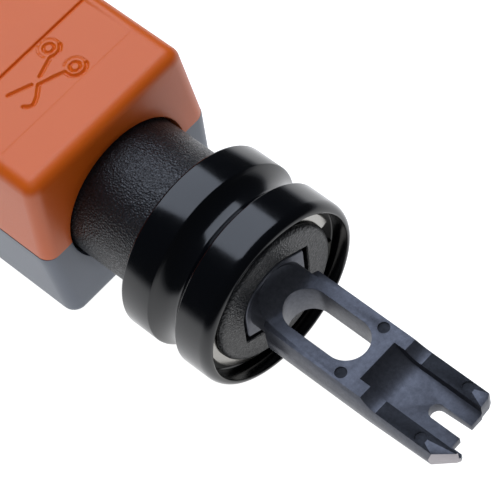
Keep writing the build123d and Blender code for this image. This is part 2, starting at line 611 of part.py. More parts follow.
def blade_plan():
    """Blade block from above: cutter on the -Y rail, fork in the middle, plain rail on the +Y side."""
    side = BLADE_HALF_MID + 0.2
    return make_face(Polyline(
        (BLOCK_REAR_X, -side),
        (CUTTER_OUTER_X, -side),
        (CUTTER_INNER_X, -CHANNEL_HALF - 0.2),
        (TIP_X, -CHANNEL_HALF + 0.2),
        (TIP_X - 0.2, FORK_EDGE_Y),
        (FORK_FRONT_X, FORK_EDGE_Y),
        (FORK_FRONT_X, CHANNEL_HALF - 0.25),
        (RAIL_END_X + 0.45, CHANNEL_HALF + 0.05),
        (RAIL_END_X + 0.3, side - 1.0),
        (RAIL_END_X - 0.6, side),
        (BLOCK_REAR_X, side),
        close=True,
    ))


def channel_cut():
    """Open channel above the fork plate, with a hollow curve up its rear wall."""
    curve, foot_x = hollow(CHANNEL_REAR_X, BLADE_TOP, FORK_TOP, CHANNEL_CURVE_R)
    side = make_face([
        curve,
        Line((foot_x, FORK_TOP), (TIP_X + PAST, FORK_TOP)),
        Line((TIP_X + PAST, FORK_TOP), (TIP_X + PAST, BLADE_TOP + PAST)),
        Line((TIP_X + PAST, BLADE_TOP + PAST), (CHANNEL_REAR_X, BLADE_TOP + PAST)),
        Line((CHANNEL_REAR_X, BLADE_TOP + PAST), (CHANNEL_REAR_X, BLADE_TOP)),
    ])
    return extrude(Plane.XZ * side, amount=CHANNEL_HALF, both=True)


def notch_cut():
    """Wire notch between the fork's two tines, with a round root."""
    length = TIP_X + PAST - NOTCH_ROOT_X
    plan = Pos(NOTCH_ROOT_X + length / 2, 0) * Rectangle(length, 2 * NOTCH_HALF)
    plan += Pos(NOTCH_ROOT_X, 0) * Circle(NOTCH_HALF)
    return extrude(Pos(0, 0, BLADE_BOTTOM - PAST) * plan, amount=BLADE_TOP - BLADE_BOTTOM + 2 * PAST)


def blade():
    """One moulded steel piece: shank with lugs and wings, slotted block, fork and cutter."""
    body = extrude(Plane.XZ * blade_side(), amount=BLADE_HALF_MID + PAST, both=True)
    widths = [(BLADE_HALF_TOP, BLADE_TOP), (BLADE_HALF_MID, BLADE_MID_Z), (BLADE_HALF_BOTTOM, BLADE_BOTTOM)]
    outline = [(-y, z) for y, z in widths] + widths[::-1]
    body &= cross_section(make_face(Polyline(*outline, close=True)), BLOCK_REAR_X - PAST, TIP_X + PAST)
    high = BLADE_TOP - BLADE_BOTTOM + 2 * PAST
    body &= extrude(Pos(0, 0, BLADE_BOTTOM - PAST) * blade_plan(), amount=high)
    rear = body.faces().sort_by(Axis.X)[0]
    body = fillet([e for e in rear.edges() if abs(e.center().Y) > BLADE_HALF_TOP - EDGE_BREAK], BLOCK_REAR_R)
    wing_front = NOSE_X - SEAT_GAP
    body += boss(wing_front)
    body -= channel_cut()
    body -= notch_cut()
    slot = SlotCenterToCenter(SLOT_FRONT_X - SLOT_REAR_X, 2 * SLOT_R)
    slot = Pos((SLOT_REAR_X + SLOT_FRONT_X) / 2, 0) * slot
    body -= extrude(Pos(0, 0, BLADE_BOTTOM - PAST) * slot, amount=high)
    for y in (-1, 1):
        body -= post(MARK_R, MARK_REAR_X, y * MARK_REAR_Y, BLADE_TOP - MARK_DEPTH, BLADE_TOP + PAST)
        body -= post(MARK_R, MARK_FRONT_X, y * MARK_FRONT_Y, RAIL_TOP - MARK_DEPTH, RAIL_TOP + PAST)

    wing = lens(WING_R, WING_TIP_R, WING_TIP_ROUND)
    lug_front = SLEEVE_FRONT_X - SEAT_GAP
    wing_back = NOSE_X - NOSE_WALL + SEAT_GAP
    body += rod(SHANK_R, SHANK_END_X, wing_front)
    body += rod(NECK_R, lug_front, wing_back)
    body += cross_section(wing, lug_front - LUG_THICK, lug_front)
    return body + cross_section(wing, wing_back, wing_front)


# ---- impact mechanism ----------------------------------------------------------------------
def return_spring():
    return coil(RETURN_COIL_R, RETURN_WIRE_R, SPRING_RIB_FRONT_X, FLANGE_REAR_X, RETURN_TURNS)


def hammer():
    body = rod(HAMMER_R, HAMMER_REAR_X, HAMMER_FRONT_X)
    body -= rod(HAMMER_BORE_R, HAMMER_FRONT_X - HAMMER_BORE_DEPTH, HAMMER_FRONT_X + PAST)
    half, top = LATCH_HALF_WIDTH + RUNNING_GAP, HAMMER_R + PAST
    body -= block(ROD_END_X - LATCH_THICK - 2 * SEAT_GAP, ROD_END_X, -half, half, LATCH_SLOT_FLOOR, top)
    return body - block(HAMMER_REAR_X - PAST, HAMMER_FRONT_X + PAST, -half, half, LATCH_FLAT, top)


def trip_latch():
    front = ROD_END_X - SEAT_GAP
    plate = block(front - LATCH_THICK, front, -LATCH_HALF_WIDTH, LATCH_HALF_WIDTH, LATCH_BOTTOM, LATCH_TOP)
    return plate - Pos(0, 0, LATCH_DROP) * rod(HAMMER_BORE_R, front - LATCH_THICK - PAST, front + PAST)


def latch_spring():
    middle = ROD_END_X - SEAT_GAP - LATCH_THICK / 2
    spring = coil(LATCH_COIL_R, LATCH_WIRE_R, 0, LATCH_BOTTOM - LATCH_SLOT_FLOOR, LATCH_TURNS)
    return Pos(middle, 0, LATCH_SLOT_FLOOR) * Rot(0, -90, 0) * spring


def trip_ramp():
    """Hardened wedge under the upper shell's roof; it pushes the latch down as the hammer is cocked."""
    corner_x = ROD_END_X - SEAT_GAP - LATCH_THICK
    slope = LATCH_DROP / STROKE
    low = [LATCH_TOP + RUNNING_GAP + (x - corner_x) * slope for x in (RAMP_REAR_X, RAMP_FRONT_X)]
    points = [(RAMP_REAR_X, low[0]), (RAMP_FRONT_X, low[1]),
              (RAMP_FRONT_X, CAVITY_HALF_HEIGHT), (RAMP_REAR_X, CAVITY_HALF_HEIGHT)]
    face = Plane.XZ * make_face(Polyline(*points, close=True))
    return extrude(face, amount=RAMP_HALF_WIDTH, both=True)


def main_spring():
    return coil(MAIN_COIL_R, MAIN_WIRE_R, SEAT_FRONT_X, HAMMER_REAR_X, MAIN_TURNS)


def spring_seat():
    half_y, half_z = CAVITY_HALF_WIDTH - FREE_GAP, CAVITY_HALF_HEIGHT - FREE_GAP
    plate = cross_section(RectangleRounded(2 * half_y, 2 * half_z, CAVITY_CORNER_R),
                          SEAT_FRONT_X - SEAT_THICK, SEAT_FRONT_X)
    return plate - rod(SCREW_R + RUNNING_GAP, SEAT_FRONT_X - SEAT_THICK - PAST, SEAT_FRONT_X + PAST)


def force_screw():
    clip_x = BUTT_WALL - HANDLE_LENGTH + SEAT_GAP
    body = rod(SCREW_R, SCREW_REAR_X, SCREW_FRONT_X)
    body -= tube(SCREW_R + PAST, CLIP_GROOVE_R, clip_x, clip_x + CLIP_THICK)
    return body - Pos(KNOB_FRONT_X - KNOB_PIN_BACK, 0, 0) * Rot(90, 0, 0) * Cylinder(KNOB_PIN_R, 4 * KNOB_R)


def screw_clip():
    x = BUTT_WALL - HANDLE_LENGTH + SEAT_GAP
    ring = tube(CLIP_OUTER_R, CLIP_GROOVE_R, x, x + CLIP_THICK)
    mouth = block(x - PAST, x + CLIP_THICK + PAST, -CLIP_MOUTH, CLIP_MOUTH, 0, CLIP_OUTER_R + PAST)
    return ring - mouth


def force_knob():
    knob = rod(KNOB_R, BUTT_X, KNOB_FRONT_X)
    knob = fillet(knob.edges().sort_by(Axis.X)[0], KNOB_ROUND)
    knob = fillet(knob.edges().sort_by(Axis.X)[-1], KNOB_FRONT_ROUND)
    flute = rod(KNOB_FLUTE_R, BUTT_X - PAST, KNOB_FRONT_X - KNOB_PLAIN)
    for i in range(KNOB_FLUTES):
        knob -= Rot(360 / KNOB_FLUTES * i, 0, 0) * Pos(0, KNOB_R + KNOB_FLUTE_OUT, 0) * flute
    knob -= rod(SCREW_R, SCREW_REAR_X, KNOB_FRONT_X + PAST)
    return knob - knob_pin(PAST / 2)


def knob_pin(longer=0.0):
    pin = Cylinder(KNOB_PIN_R, 2 * (KNOB_R - KNOB_PIN_SHORT + longer))
    return Pos(KNOB_FRONT_X - KNOB_PIN_BACK, 0, 0) * Rot(90, 0, 0) * pin


PIECES = [upper_shell, lower_shell, shell_screws, trip_ramp, barrel, socket_sleeve, anvil_rod, cross_pin,
          retaining_ring, detent_ball, detent_spring, collar, lock_ring, drive_pins, blade, return_spring,
          hammer, trip_latch, latch_spring, main_spring, spring_seat, force_screw, screw_clip, force_knob,
          knob_pin]


def write(node, made):
    """Write one node's solids to parts/, in the part's frame."""
    solids = made if isinstance(made, list) else [made]
    placed = [TO_PART_FRAME * solid for item in solids for solid in item.solids()]
    export_step(Compound(children=placed) if len(placed) > 1 else placed[0], f"parts/{node}.step")


os.makedirs("parts", exist_ok=True)
for piece in PIECES:
    write(piece.__name__, piece())
print("part frame: axis at z", BOTTOM_DEPTH, " x shift", round(-MID_X, 4))
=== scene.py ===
import math

import bmesh
import bpy
from mathutils import Matrix, Vector


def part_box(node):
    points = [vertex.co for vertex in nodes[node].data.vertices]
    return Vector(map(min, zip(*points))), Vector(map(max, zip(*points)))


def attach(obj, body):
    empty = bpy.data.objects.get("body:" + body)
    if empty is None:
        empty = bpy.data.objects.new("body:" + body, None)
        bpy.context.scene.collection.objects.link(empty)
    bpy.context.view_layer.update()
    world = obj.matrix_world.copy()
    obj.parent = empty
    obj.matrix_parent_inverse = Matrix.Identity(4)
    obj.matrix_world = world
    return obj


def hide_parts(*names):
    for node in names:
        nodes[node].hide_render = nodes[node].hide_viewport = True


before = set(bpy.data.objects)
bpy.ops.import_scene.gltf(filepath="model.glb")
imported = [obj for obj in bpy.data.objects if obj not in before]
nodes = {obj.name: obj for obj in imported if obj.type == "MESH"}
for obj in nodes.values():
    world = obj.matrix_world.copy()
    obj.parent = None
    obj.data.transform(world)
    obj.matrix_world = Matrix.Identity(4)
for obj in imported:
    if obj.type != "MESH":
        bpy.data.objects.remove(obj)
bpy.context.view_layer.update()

# ---- Camera ------------------------------------------------------------------------------
# A long lens close above the blade's side, rolled a little, that frames the collar, the blade
# and the front of the handle. Places are counted from the handle's front face on the tool's axis.
MM = 0.001
front_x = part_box("upper_shell")[1][0]
axis_z = (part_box("barrel")[0][2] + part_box("barrel")[1][2]) / 2


def place(points):
    """Points in mm from the handle's front face and the tool's axis, as metres in the frame."""
    return [(front_x + x * MM, y * MM, axis_z + z * MM) for x, y, z in points]


azimuth, elevation, roll = (math.radians(angle) for angle in (55.65, 57.36, -15.29))
back = Vector((math.sin(azimuth) * math.cos(elevation), -math.cos(azimuth) * math.cos(elevation),
               math.sin(elevation)))
level = Vector((math.cos(azimuth), math.sin(azimuth), 0))
right = math.cos(roll) * level + math.sin(roll) * back.cross(level)
up = back.cross(right)
aim = Vector(place([(15.54, 2.22, 0)])[0])
camera_data = bpy.data.cameras.new("camera")
camera_data.sensor_width = 36
camera_data.lens = 200.87
camera_data.clip_start = 0.01
camera = bpy.data.objects.new("camera", camera_data)
camera_turn = Matrix((right, up, back)).transposed().to_4x4()
camera_distance = 0.28845
camera.matrix_world = Matrix.Translation(aim + back * camera_distance) @ camera_turn
bpy.context.collection.objects.link(camera)
bpy.context.scene.camera = camera
bpy.context.scene.view_settings.view_transform = "Standard"

# ---- Hardened steel pins and rod ---------------------------------------------------------
# Ground and oiled steel pieces that hold the plunger together: the anvil rod, its cross pin, the
# collar's drive pins, the knob's pin and the trip ramp. All are pressed in and stay out of sight.


def colour(code):
    """An sRGB hex colour as linear red, green, blue and alpha."""
    parts = [int(code[i:i + 2], 16) / 255 for i in (1, 3, 5)]
    return (*[c / 12.92 if c <= 0.04045 else ((c + 0.055) / 1.055) ** 2.4 for c in parts], 1.0)


def add(tree, kind, inputs=None, **settings):
    """A new node with its settings; inputs holds a value or the socket to link for each input."""
    node = tree.nodes.new(kind)
    for name, value in settings.items():
        setattr(node, name, value)
    for name, value in (inputs or {}).items():
        if isinstance(value, bpy.types.NodeSocket):
            tree.links.new(value, node.inputs[name])
        else:
            node.inputs[name].default_value = value
    return node


def new_material(name):
    """An empty node material and its tree."""
    made = bpy.data.materials.new(name)
    made.use_nodes = True
    made.node_tree.nodes.clear()
    return made, made.node_tree


def finish_material(tree, shader):
    add(tree, "ShaderNodeOutputMaterial", {"Surface": shader.outputs["BSDF"]})


def dress(node_names, material):
    """Gives CAD nodes one material."""
    for name in node_names:
        data = nodes[name].data
        data.materials.clear()
        data.materials.append(material)


# Ground steel: fine lines 0.05 mm apart along the piece give a soft streaked shine.
ground_steel, tree = new_material("hardened_ground_steel")
spots = add(tree, "ShaderNodeTexCoord").outputs["Object"]
stretched = add(tree, "ShaderNodeMapping", {"Vector": spots, "Scale": (400, 20000, 20000)})
lines = add(tree, "ShaderNodeTexNoise", {"Vector": stretched.outputs["Vector"], "Scale": 1.0, "Detail": 3.0})
rough = add(tree, "ShaderNodeMapRange", {"Value": lines.outputs["Fac"], "To Min": 0.22, "To Max": 0.42})
bump = add(tree, "ShaderNodeBump", {"Height": lines.outputs["Fac"], "Strength": 0.2, "Distance": 0.00001})
finish_material(tree, add(tree, "ShaderNodeBsdfPrincipled", {
    "Base Color": colour("#A8A8A6"), "Metallic": 1.0, "Roughness": rough.outputs["Result"],
    "Normal": bump.outputs["Normal"]}))
dress(["anvil_rod", "cross_pin", "drive_pins", "knob_pin", "trip_ramp", "detent_ball"], ground_steel)

# ---- Socket sleeve, lock ring, hammer and latch ------------------------------------------
# Turned steel pieces with an oiled, slightly blackened skin. The sleeve is pressed into the
# barrel, the ring turns with the collar, and the hammer and its latch slide in the handle.

# Blackened steel: uneven oxide in 2 mm patches over turning marks 0.1 mm apart.
turned_steel, tree = new_material("oiled_turned_steel")
spots = add(tree, "ShaderNodeTexCoord").outputs["Object"]
patches = add(tree, "ShaderNodeTexNoise", {"Vector": spots, "Scale": 500.0, "Detail": 4.0})
rings = add(tree, "ShaderNodeTexWave", {"Vector": spots, "Scale": 3000.0, "Distortion": 1.5},
            bands_direction="X")
tone = add(tree, "ShaderNodeMix", {"Factor": patches.outputs["Fac"], "A": colour("#5A5A5C"),
                                   "B": colour("#7C7B79")}, data_type="RGBA")
bump = add(tree, "ShaderNodeBump", {"Height": rings.outputs["Fac"], "Strength": 0.15, "Distance": 0.00001})
finish_material(tree, add(tree, "ShaderNodeBsdfPrincipled", {
    "Base Color": tone.outputs["Result"], "Metallic": 1.0, "Roughness": 0.38,
    "Normal": bump.outputs["Normal"]}))
dress(["socket_sleeve", "lock_ring", "hammer", "trip_latch", "force_screw", "screw_clip"],
      turned_steel)

# Turned brass spring seat: bright feed lines 0.08 mm apart under a thin tarnish in 1 mm patches.
brass, tree = new_material("turned_brass")
spots = add(tree, "ShaderNodeTexCoord").outputs["Object"]
tarnish = add(tree, "ShaderNodeTexNoise", {"Vector": spots, "Scale": 1000.0, "Detail": 3.0})
feed = add(tree, "ShaderNodeTexWave", {"Vector": spots, "Scale": 4000.0, "Distortion": 1.0},
           bands_direction="X")
tone = add(tree, "ShaderNodeMix", {"Factor": tarnish.outputs["Fac"], "A": colour("#B08D4A"),
                                   "B": colour("#C9A55C")}, data_type="RGBA")
rough = add(tree, "ShaderNodeMapRange", {"Value": tarnish.outputs["Fac"], "To Min": 0.22, "To Max": 0.38})
bump = add(tree, "ShaderNodeBump", {"Height": feed.outputs["Fac"], "Strength": 0.2, "Distance": 0.00001})
finish_material(tree, add(tree, "ShaderNodeBsdfPrincipled", {
    "Base Color": tone.outputs["Result"], "Metallic": 1.0, "Roughness": rough.outputs["Result"],
    "Normal": bump.outputs["Normal"]}))
dress(["spring_seat"], brass)

# ---- Springs -----------------------------------------------------------------------------
# Coiled music wire: the return spring, the main spring, and the small latch and detent springs.

# Music wire: drawn surface, oiled, with drawing lines too fine to see as more than a soft gloss.
wire_steel, tree = new_material("oiled_music_wire")
spots = add(tree, "ShaderNodeTexCoord").outputs["Object"]
cloud = add(tree, "ShaderNodeTexNoise", {"Vector": spots, "Scale": 1200.0, "Detail": 2.0})
rough = add(tree, "ShaderNodeMapRange", {"Value": cloud.outputs["Fac"], "To Min": 0.2, "To Max": 0.36})
finish_material(tree, add(tree, "ShaderNodeBsdfPrincipled", {
    "Base Color": colour("#8E8F92"), "Metallic": 1.0, "Roughness": rough.outputs["Result"]}))
dress(["return_spring", "main_spring", "latch_spring", "detent_spring"], wire_steel)

# ---- Barrel ------------------------------------------------------------------------------
# The plunger's body, moulded in black glass-filled nylon with a spark-eroded texture. Its square
# rear flange stays in the handle; the nose wall has a lens-shaped window for the blade's wings.
barrel_r, bore_r = 8.2, 7.2
nose_x, nose_wall, nose_round = 21.4, 3.0, 0.7
flange_rear, flange_front = -16.0, -12.0
flange_half_y, flange_half_z, flange_corner = 9.0, 9.5, 2.5
ring_groove_r, ring_groove_x, ring_groove_width = 7.8, 19.8, 0.8
window_r, window_tip_r = 4.85, 5.86
wing_angle = math.radians(29)


def skin(name, rings, ends="loop"):
    """A closed surface over rings of points; each ring is closed, and ends are looped or capped."""
    count = len(rings[0])
    points = [point for ring in rings for point in ring]
    faces = []
    spans = len(rings) if ends == "loop" else len(rings) - 1
    for i in range(spans):
        low, high = i * count, ((i + 1) % len(rings)) * count
        faces += [(low + j, low + (j + 1) % count, high + (j + 1) % count, high + j) for j in range(count)]
    if ends == "capped":
        faces += [tuple(range(count))[::-1], tuple(range(len(points) - count, len(points)))]
    return solid(name, points, faces)


def solid(name, points, faces):
    """A mesh object from points in mm, with its faces turned outwards."""
    data = bpy.data.meshes.new(name)
    data.from_pydata(place(points), [], faces)
    made = bpy.data.objects.new(name, data)
    bpy.context.collection.objects.link(made)
    shape = bmesh.new()
    shape.from_mesh(data)
    bmesh.ops.remove_doubles(shape, verts=shape.verts, dist=1e-8)
    bmesh.ops.recalc_face_normals(shape, faces=shape.faces)
    shape.to_mesh(data)
    shape.free()
    return made


def smooth(made, angle=32):
    """Smooth shading with hard edges where faces meet at more than this angle."""
    made.data.shade_smooth()
    made.data.set_sharp_from_angle(angle=math.radians(angle))


def circle_ring(x, r, count):
    turns = [2 * math.pi * j / count for j in range(count)]
    return [(x, r * math.cos(t), r * math.sin(t)) for t in turns]


def box_ring(x, half_y, half_z, corner, count):
    """Rounded rectangle, its points on the same rays as a circle's."""
    ring = []
    for j in range(count):
        turn = 2 * math.pi * j / count
        cy, cz = abs(math.cos(turn)), abs(math.sin(turn))
        reach = min(half_y / cy if cy > 1e-9 else 1e9, half_z / cz if cz > 1e-9 else 1e9)
        y, z = reach * cy, reach * cz
        oy, oz = half_y - corner, half_z - corner
        if y > oy and z > oz:
            along = cy * oy + cz * oz
            reach = along + math.sqrt(along ** 2 - oy ** 2 - oz ** 2 + corner ** 2)
        ring.append((x, reach * math.cos(turn), reach * math.sin(turn)))
    return ring


def lens_radius(turn, r, tip_r):
    """Reach of the two-tipped window in this direction."""
    off = abs((turn - wing_angle + math.pi / 2) % math.pi - math.pi / 2)
    spread = math.acos(r / tip_r)
    return r / math.cos(spread - off) if off < spread else r


def lens_ring(x, r, tip_r, count):
    turns = [2 * math.pi * j / count for j in range(count)]
    return [(x, lens_radius(t, r, tip_r) * math.cos(t), lens_radius(t, r, tip_r) * math.sin(t))
            for t in turns]


def between(ring_a, ring_b, share):
    """A ring part way from one ring to another."""
    return [tuple(a + (b - a) * share for a, b in zip(p, q)) for p, q in zip(ring_a, ring_b)]


def quarter(steps):
    """Sine and cosine pairs over a quarter turn."""
    turns = [math.pi / 2 * i / steps for i in range(steps + 1)]
    return [(math.sin(t), math.cos(t)) for t in turns]


around = 288
rings = [box_ring(flange_rear, flange_half_y, flange_half_z, flange_corner, around),
         box_ring(flange_front, flange_half_y, flange_half_z, flange_corner, around),
         circle_ring(flange_front, barrel_r, around), circle_ring(ring_groove_x, barrel_r, around),
         circle_ring(ring_groove_x, ring_groove_r, around),
         circle_ring(ring_groove_x + ring_groove_width, ring_groove_r, around)]
edge_x, edge_r = nose_x - nose_round, barrel_r - nose_round
rings += [circle_ring(edge_x + nose_round * s, edge_r + nose_round * c, around) for s, c in quarter(6)]
window = lens_ring(nose_x, window_r + 0.12, window_tip_r + 0.12, around)
rings += [between(rings[-1], window, share) for share in (0.3, 0.65)]
rings += [window, lens_ring(nose_x - 0.12, window_r, window_tip_r, around),
          lens_ring(nose_x - nose_wall, window_r, window_tip_r, around),
          circle_ring(nose_x - nose_wall, bore_r, around), circle_ring(flange_rear, bore_r, around)]
barrel = skin("barrel_body", rings)
smooth(barrel)

# Spark-eroded nylon: pits and grains about 0.25 mm across on a near-black ground, drawn with two sizes of
# grain in the bump.
# The pale specks where the grain scatters the light are painted highlights: the coarse grain's peaks get a
# lighter base colour and are also less rough.
textured_nylon, tree = new_material("spark_textured_black_nylon")
spots = add(tree, "ShaderNodeTexCoord").outputs["Object"]
coarse = add(tree, "ShaderNodeTexNoise", {"Vector": spots, "Scale": 4600.0, "Detail": 1.0, "Roughness": 0.6})
fine = add(tree, "ShaderNodeTexVoronoi", {"Vector": spots, "Scale": 4200.0})
grain = add(tree, "ShaderNodeMath", {0: coarse.outputs["Fac"], 1: fine.outputs["Distance"]}, operation="ADD")
bump = add(tree, "ShaderNodeBump", {"Height": grain.outputs["Value"], "Strength": 0.8, "Distance": 0.00008})
# Painted highlight: a lighter base colour on the coarse grain's peaks stands in for the specks of light the
# texture catches. The same peaks also lower the roughness.
grain_peaks_and_painted_sparkle = add(tree, "ShaderNodeMapRange", {"Value": coarse.outputs["Fac"], "From Min": 0.42, "From Max": 0.62})
tone = add(tree, "ShaderNodeMix", {"Factor": grain_peaks_and_painted_sparkle.outputs["Result"], "A": colour("#060709"),
                                   "B": colour("#181A1F")}, data_type="RGBA")
rough = add(tree, "ShaderNodeMapRange", {"Value": grain_peaks_and_painted_sparkle.outputs["Result"], "To Min": 0.5, "To Max": 0.3})
finish_material(tree, add(tree, "ShaderNodeBsdfPrincipled", {
    "Base Color": tone.outputs["Result"], "Roughness": rough.outputs["Result"], "IOR": 1.53,
    "Normal": bump.outputs["Normal"]}))
barrel.data.materials.append(textured_nylon)
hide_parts("barrel")
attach(barrel, "plunger")

# ---- Retaining ring ----------------------------------------------------------------------
# A snap ring of bent spring steel in the barrel's groove. It keeps the collar on the nose; its
# two ends leave a gap on the +Y side.
snap_outer_r, snap_wire = 9.3, 0.72
snap_gap = math.radians(24)
snap_x = ring_groove_x + ring_groove_width / 2
section = [(0.5 * math.copysign(abs(math.cos(t)) ** 0.35, math.cos(t)),
            0.5 * math.copysign(abs(math.sin(t)) ** 0.35, math.sin(t)))
           for t in [2 * math.pi * k / 16 for k in range(16)]]
rings = []
for j in range(145):
    turn = snap_gap / 2 + (2 * math.pi - snap_gap) * j / 144
    inner = ring_groove_r
    mid, half = (inner + snap_outer_r) / 2, (snap_outer_r - inner)
    rings.append([(snap_x + snap_wire * a, (mid + half * b) * math.cos(turn),
                   (mid + half * b) * math.sin(turn))
                  for a, b in section])
snap_ring = skin("snap_ring", rings, ends="capped")
smooth(snap_ring, 40)

# Spring steel: polished edges catch the light, faces keep faint rolling marks 0.1 mm apart.
spring_steel, tree = new_material("polished_spring_steel")
spots = add(tree, "ShaderNodeTexCoord").outputs["Object"]
marks = add(tree, "ShaderNodeTexNoise", {"Vector": spots, "Scale": 9000.0, "Detail": 2.0})
rough = add(tree, "ShaderNodeMapRange", {"Value": marks.outputs["Fac"], "To Min": 0.16, "To Max": 0.3})
finish_material(tree, add(tree, "ShaderNodeBsdfPrincipled", {
    "Base Color": colour("#9C9A96"), "Metallic": 1.0, "Roughness": rough.outputs["Result"]}))
snap_ring.data.materials.append(spring_steel)
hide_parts("retaining_ring")
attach(snap_ring, "plunger")

# ---- Collar ------------------------------------------------------------------------------
# The twist-lock collar, turned from aluminium and anodised glossy black. Two flanges stand either
# side of a hollow waist; the snap ring holds it by the floor of its counterbore.
collar_r, collar_bore_r = 11.0, 8.28
collar_back, collar_front = 9.75, 22.05
back_round, front_round = 0.35, 1.25
back_flange_end, waist_low_x, waist_low_r, shoulder_x = 13.7, 16.1, 9.6, 17.45
waist_rise_run, waist_rise = 1.3, 0.8
rim_inner_r, counterbore_x = 10.05, 19.8
profile = [(collar_back, collar_bore_r + 0.1), (collar_back, collar_r - back_round)]
profile += [(collar_back + back_round * (1 - c), collar_r - back_round * (1 - s)) for s, c in quarter(12)]
profile += [(back_flange_end - 0.16, collar_r), (back_flange_end - 0.05, collar_r - 0.03),
            (back_flange_end + 0.05, collar_r - 0.13)]
fall_x, fall_r = back_flange_end + 0.05, collar_r - 0.13
for step in range(1, 15):
    share = step / 14
    profile.append((fall_x + (waist_low_x - fall_x) * share,
                    waist_low_r + (fall_r - waist_low_r) * (1 - share) ** 2.6))
profile += [(waist_low_x + waist_rise_run * k / 10, waist_low_r + waist_rise * (k / 10) ** 2)
            for k in range(1, 11)]
profile += [(shoulder_x, collar_r - 0.16), (shoulder_x + 0.04, collar_r - 0.06),
            (shoulder_x + 0.14, collar_r)]
rim_face = rim_inner_r + 0.14
profile += [(collar_front - front_round + front_round * s, rim_face + (collar_r - rim_face) * c)
            for s, c in quarter(12)]
profile += [(collar_front - 0.05, rim_inner_r + 0.04), (collar_front - 0.16, rim_inner_r),
            (counterbore_x + 0.1, rim_inner_r), (counterbore_x, rim_inner_r - 0.1),
            (counterbore_x, collar_bore_r + 0.08), (counterbore_x - 0.08, collar_bore_r),
            (collar_back + 0.1, collar_bore_r)]
around = 320
collar = skin("lock_collar", [circle_ring(x, r, around) for x, r in profile])
smooth(collar, 28)

# Black anodised aluminium, polished: almost a black mirror, with turning marks 0.08 mm apart that
# are drawn coarser, at 0.2 mm, so that they just show where a light's edge falls.
anodised, tree = new_material("gloss_black_anodised_aluminium")
spots = add(tree, "ShaderNodeTexCoord").outputs["Object"]
marks = add(tree, "ShaderNodeTexWave", {"Vector": spots, "Scale": 1600.0, "Distortion": 0.6, "Detail": 1.0},
            bands_direction="X")
dust = add(tree, "ShaderNodeTexNoise", {"Vector": spots, "Scale": 900.0, "Detail": 3.0})
rough = add(tree, "ShaderNodeMapRange", {"Value": dust.outputs["Fac"], "To Min": 0.1, "To Max": 0.2})
bump = add(tree, "ShaderNodeBump", {"Height": marks.outputs["Fac"], "Strength": 0.05, "Distance": 0.00001})
finish_material(tree, add(tree, "ShaderNodeBsdfPrincipled", {
    "Base Color": colour("#030407"), "Roughness": rough.outputs["Result"], "IOR": 1.5,
    "Normal": bump.outputs["Normal"]}))
collar.data.materials.append(anodised)
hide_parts("collar")
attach(collar, "collar")

# ---- Handle shells -----------------------------------------------------------------------
# Two ABS mouldings that meet at the tool's axis and clamp the mechanism: orange above, grey below.
# The orange one has a land at the front, then a shallow recess with a scored line and the engraved
# scissors symbol that marks the blade's cutting side.
handle_length, wall, butt_wall = 115.0, 2.5, 4.0
edge_round, face_round, butt_round = 1.6, 1.5, 1.9
draft = 0.9
barrel_hole_r, screw_hole_r = 8.5, 3.08
side_steps, corner_steps, top_steps = 8, 8, 170
land, recess_half, recess_depth, recess_ramp, recess_end = 5.85, 9.75, 0.7, 22.0, 100.0
scored_line, scored_width, engraving = -13.1, 0.42, 0.3
stations = [(0, 12.2, 12.5), (28, 12.2, 12.5), (55, 11.7, 12.3), (90, 12.7, 13.3), (115, 12.2, 12.5)]


def ease(share):
    share = max(0.0, min(1.0, share))
    return share * share * (3 - 2 * share)


def handle_size(depth):
    """Half width at the parting plane and height of the roof, this far behind the front face."""
    for (a, wide_a, high_a), (b, wide_b, high_b) in zip(stations, stations[1:]):
        if depth <= b:
            share = ease((depth - a) / (b - a))
            return wide_a + (wide_b - wide_a) * share, high_a + (high_b - high_a) * share
    return stations[-1][1:]


def half_ring(x, wide, high, corner, lift):
    """Half section from one parting edge over the roof to the other; lift rounds the parting edge."""
    top = wide - draft
    lean = math.atan2(draft, high)
    ring = []
    for k in range(side_steps + 1):
        z = (high - corner) * (k / side_steps) ** 1.5
        tuck = lift * max(0.0, 1 - z / 0.25) ** 2 if lift else 0.0
        ring.append((x, -(wide - draft * z / high) + tuck, z))
    for k in range(1, corner_steps):
        turn = math.pi / 2 * k / corner_steps
        shrink = 1 - math.cos(turn)
        ring.append((x, -(top + lean * corner) + corner * shrink + lean * corner * math.sin(turn),
                     high - corner + corner * math.sin(turn)))
    for k in range(top_steps + 1):
        ring.append((x, (top - corner) * (2 * k / top_steps - 1), high))
    return ring + [(x, -y, z) for x, y, z in ring[side_steps + corner_steps - 1::-1]]


def half_circle(x, r, like):
    """Half circle whose points lie on the same rays as another half ring's."""
    ring = []
    for _, y, z in like:
        reach = math.hypot(y, z)
        ring.append((x, r * y / reach, r * z / reach))
    return ring


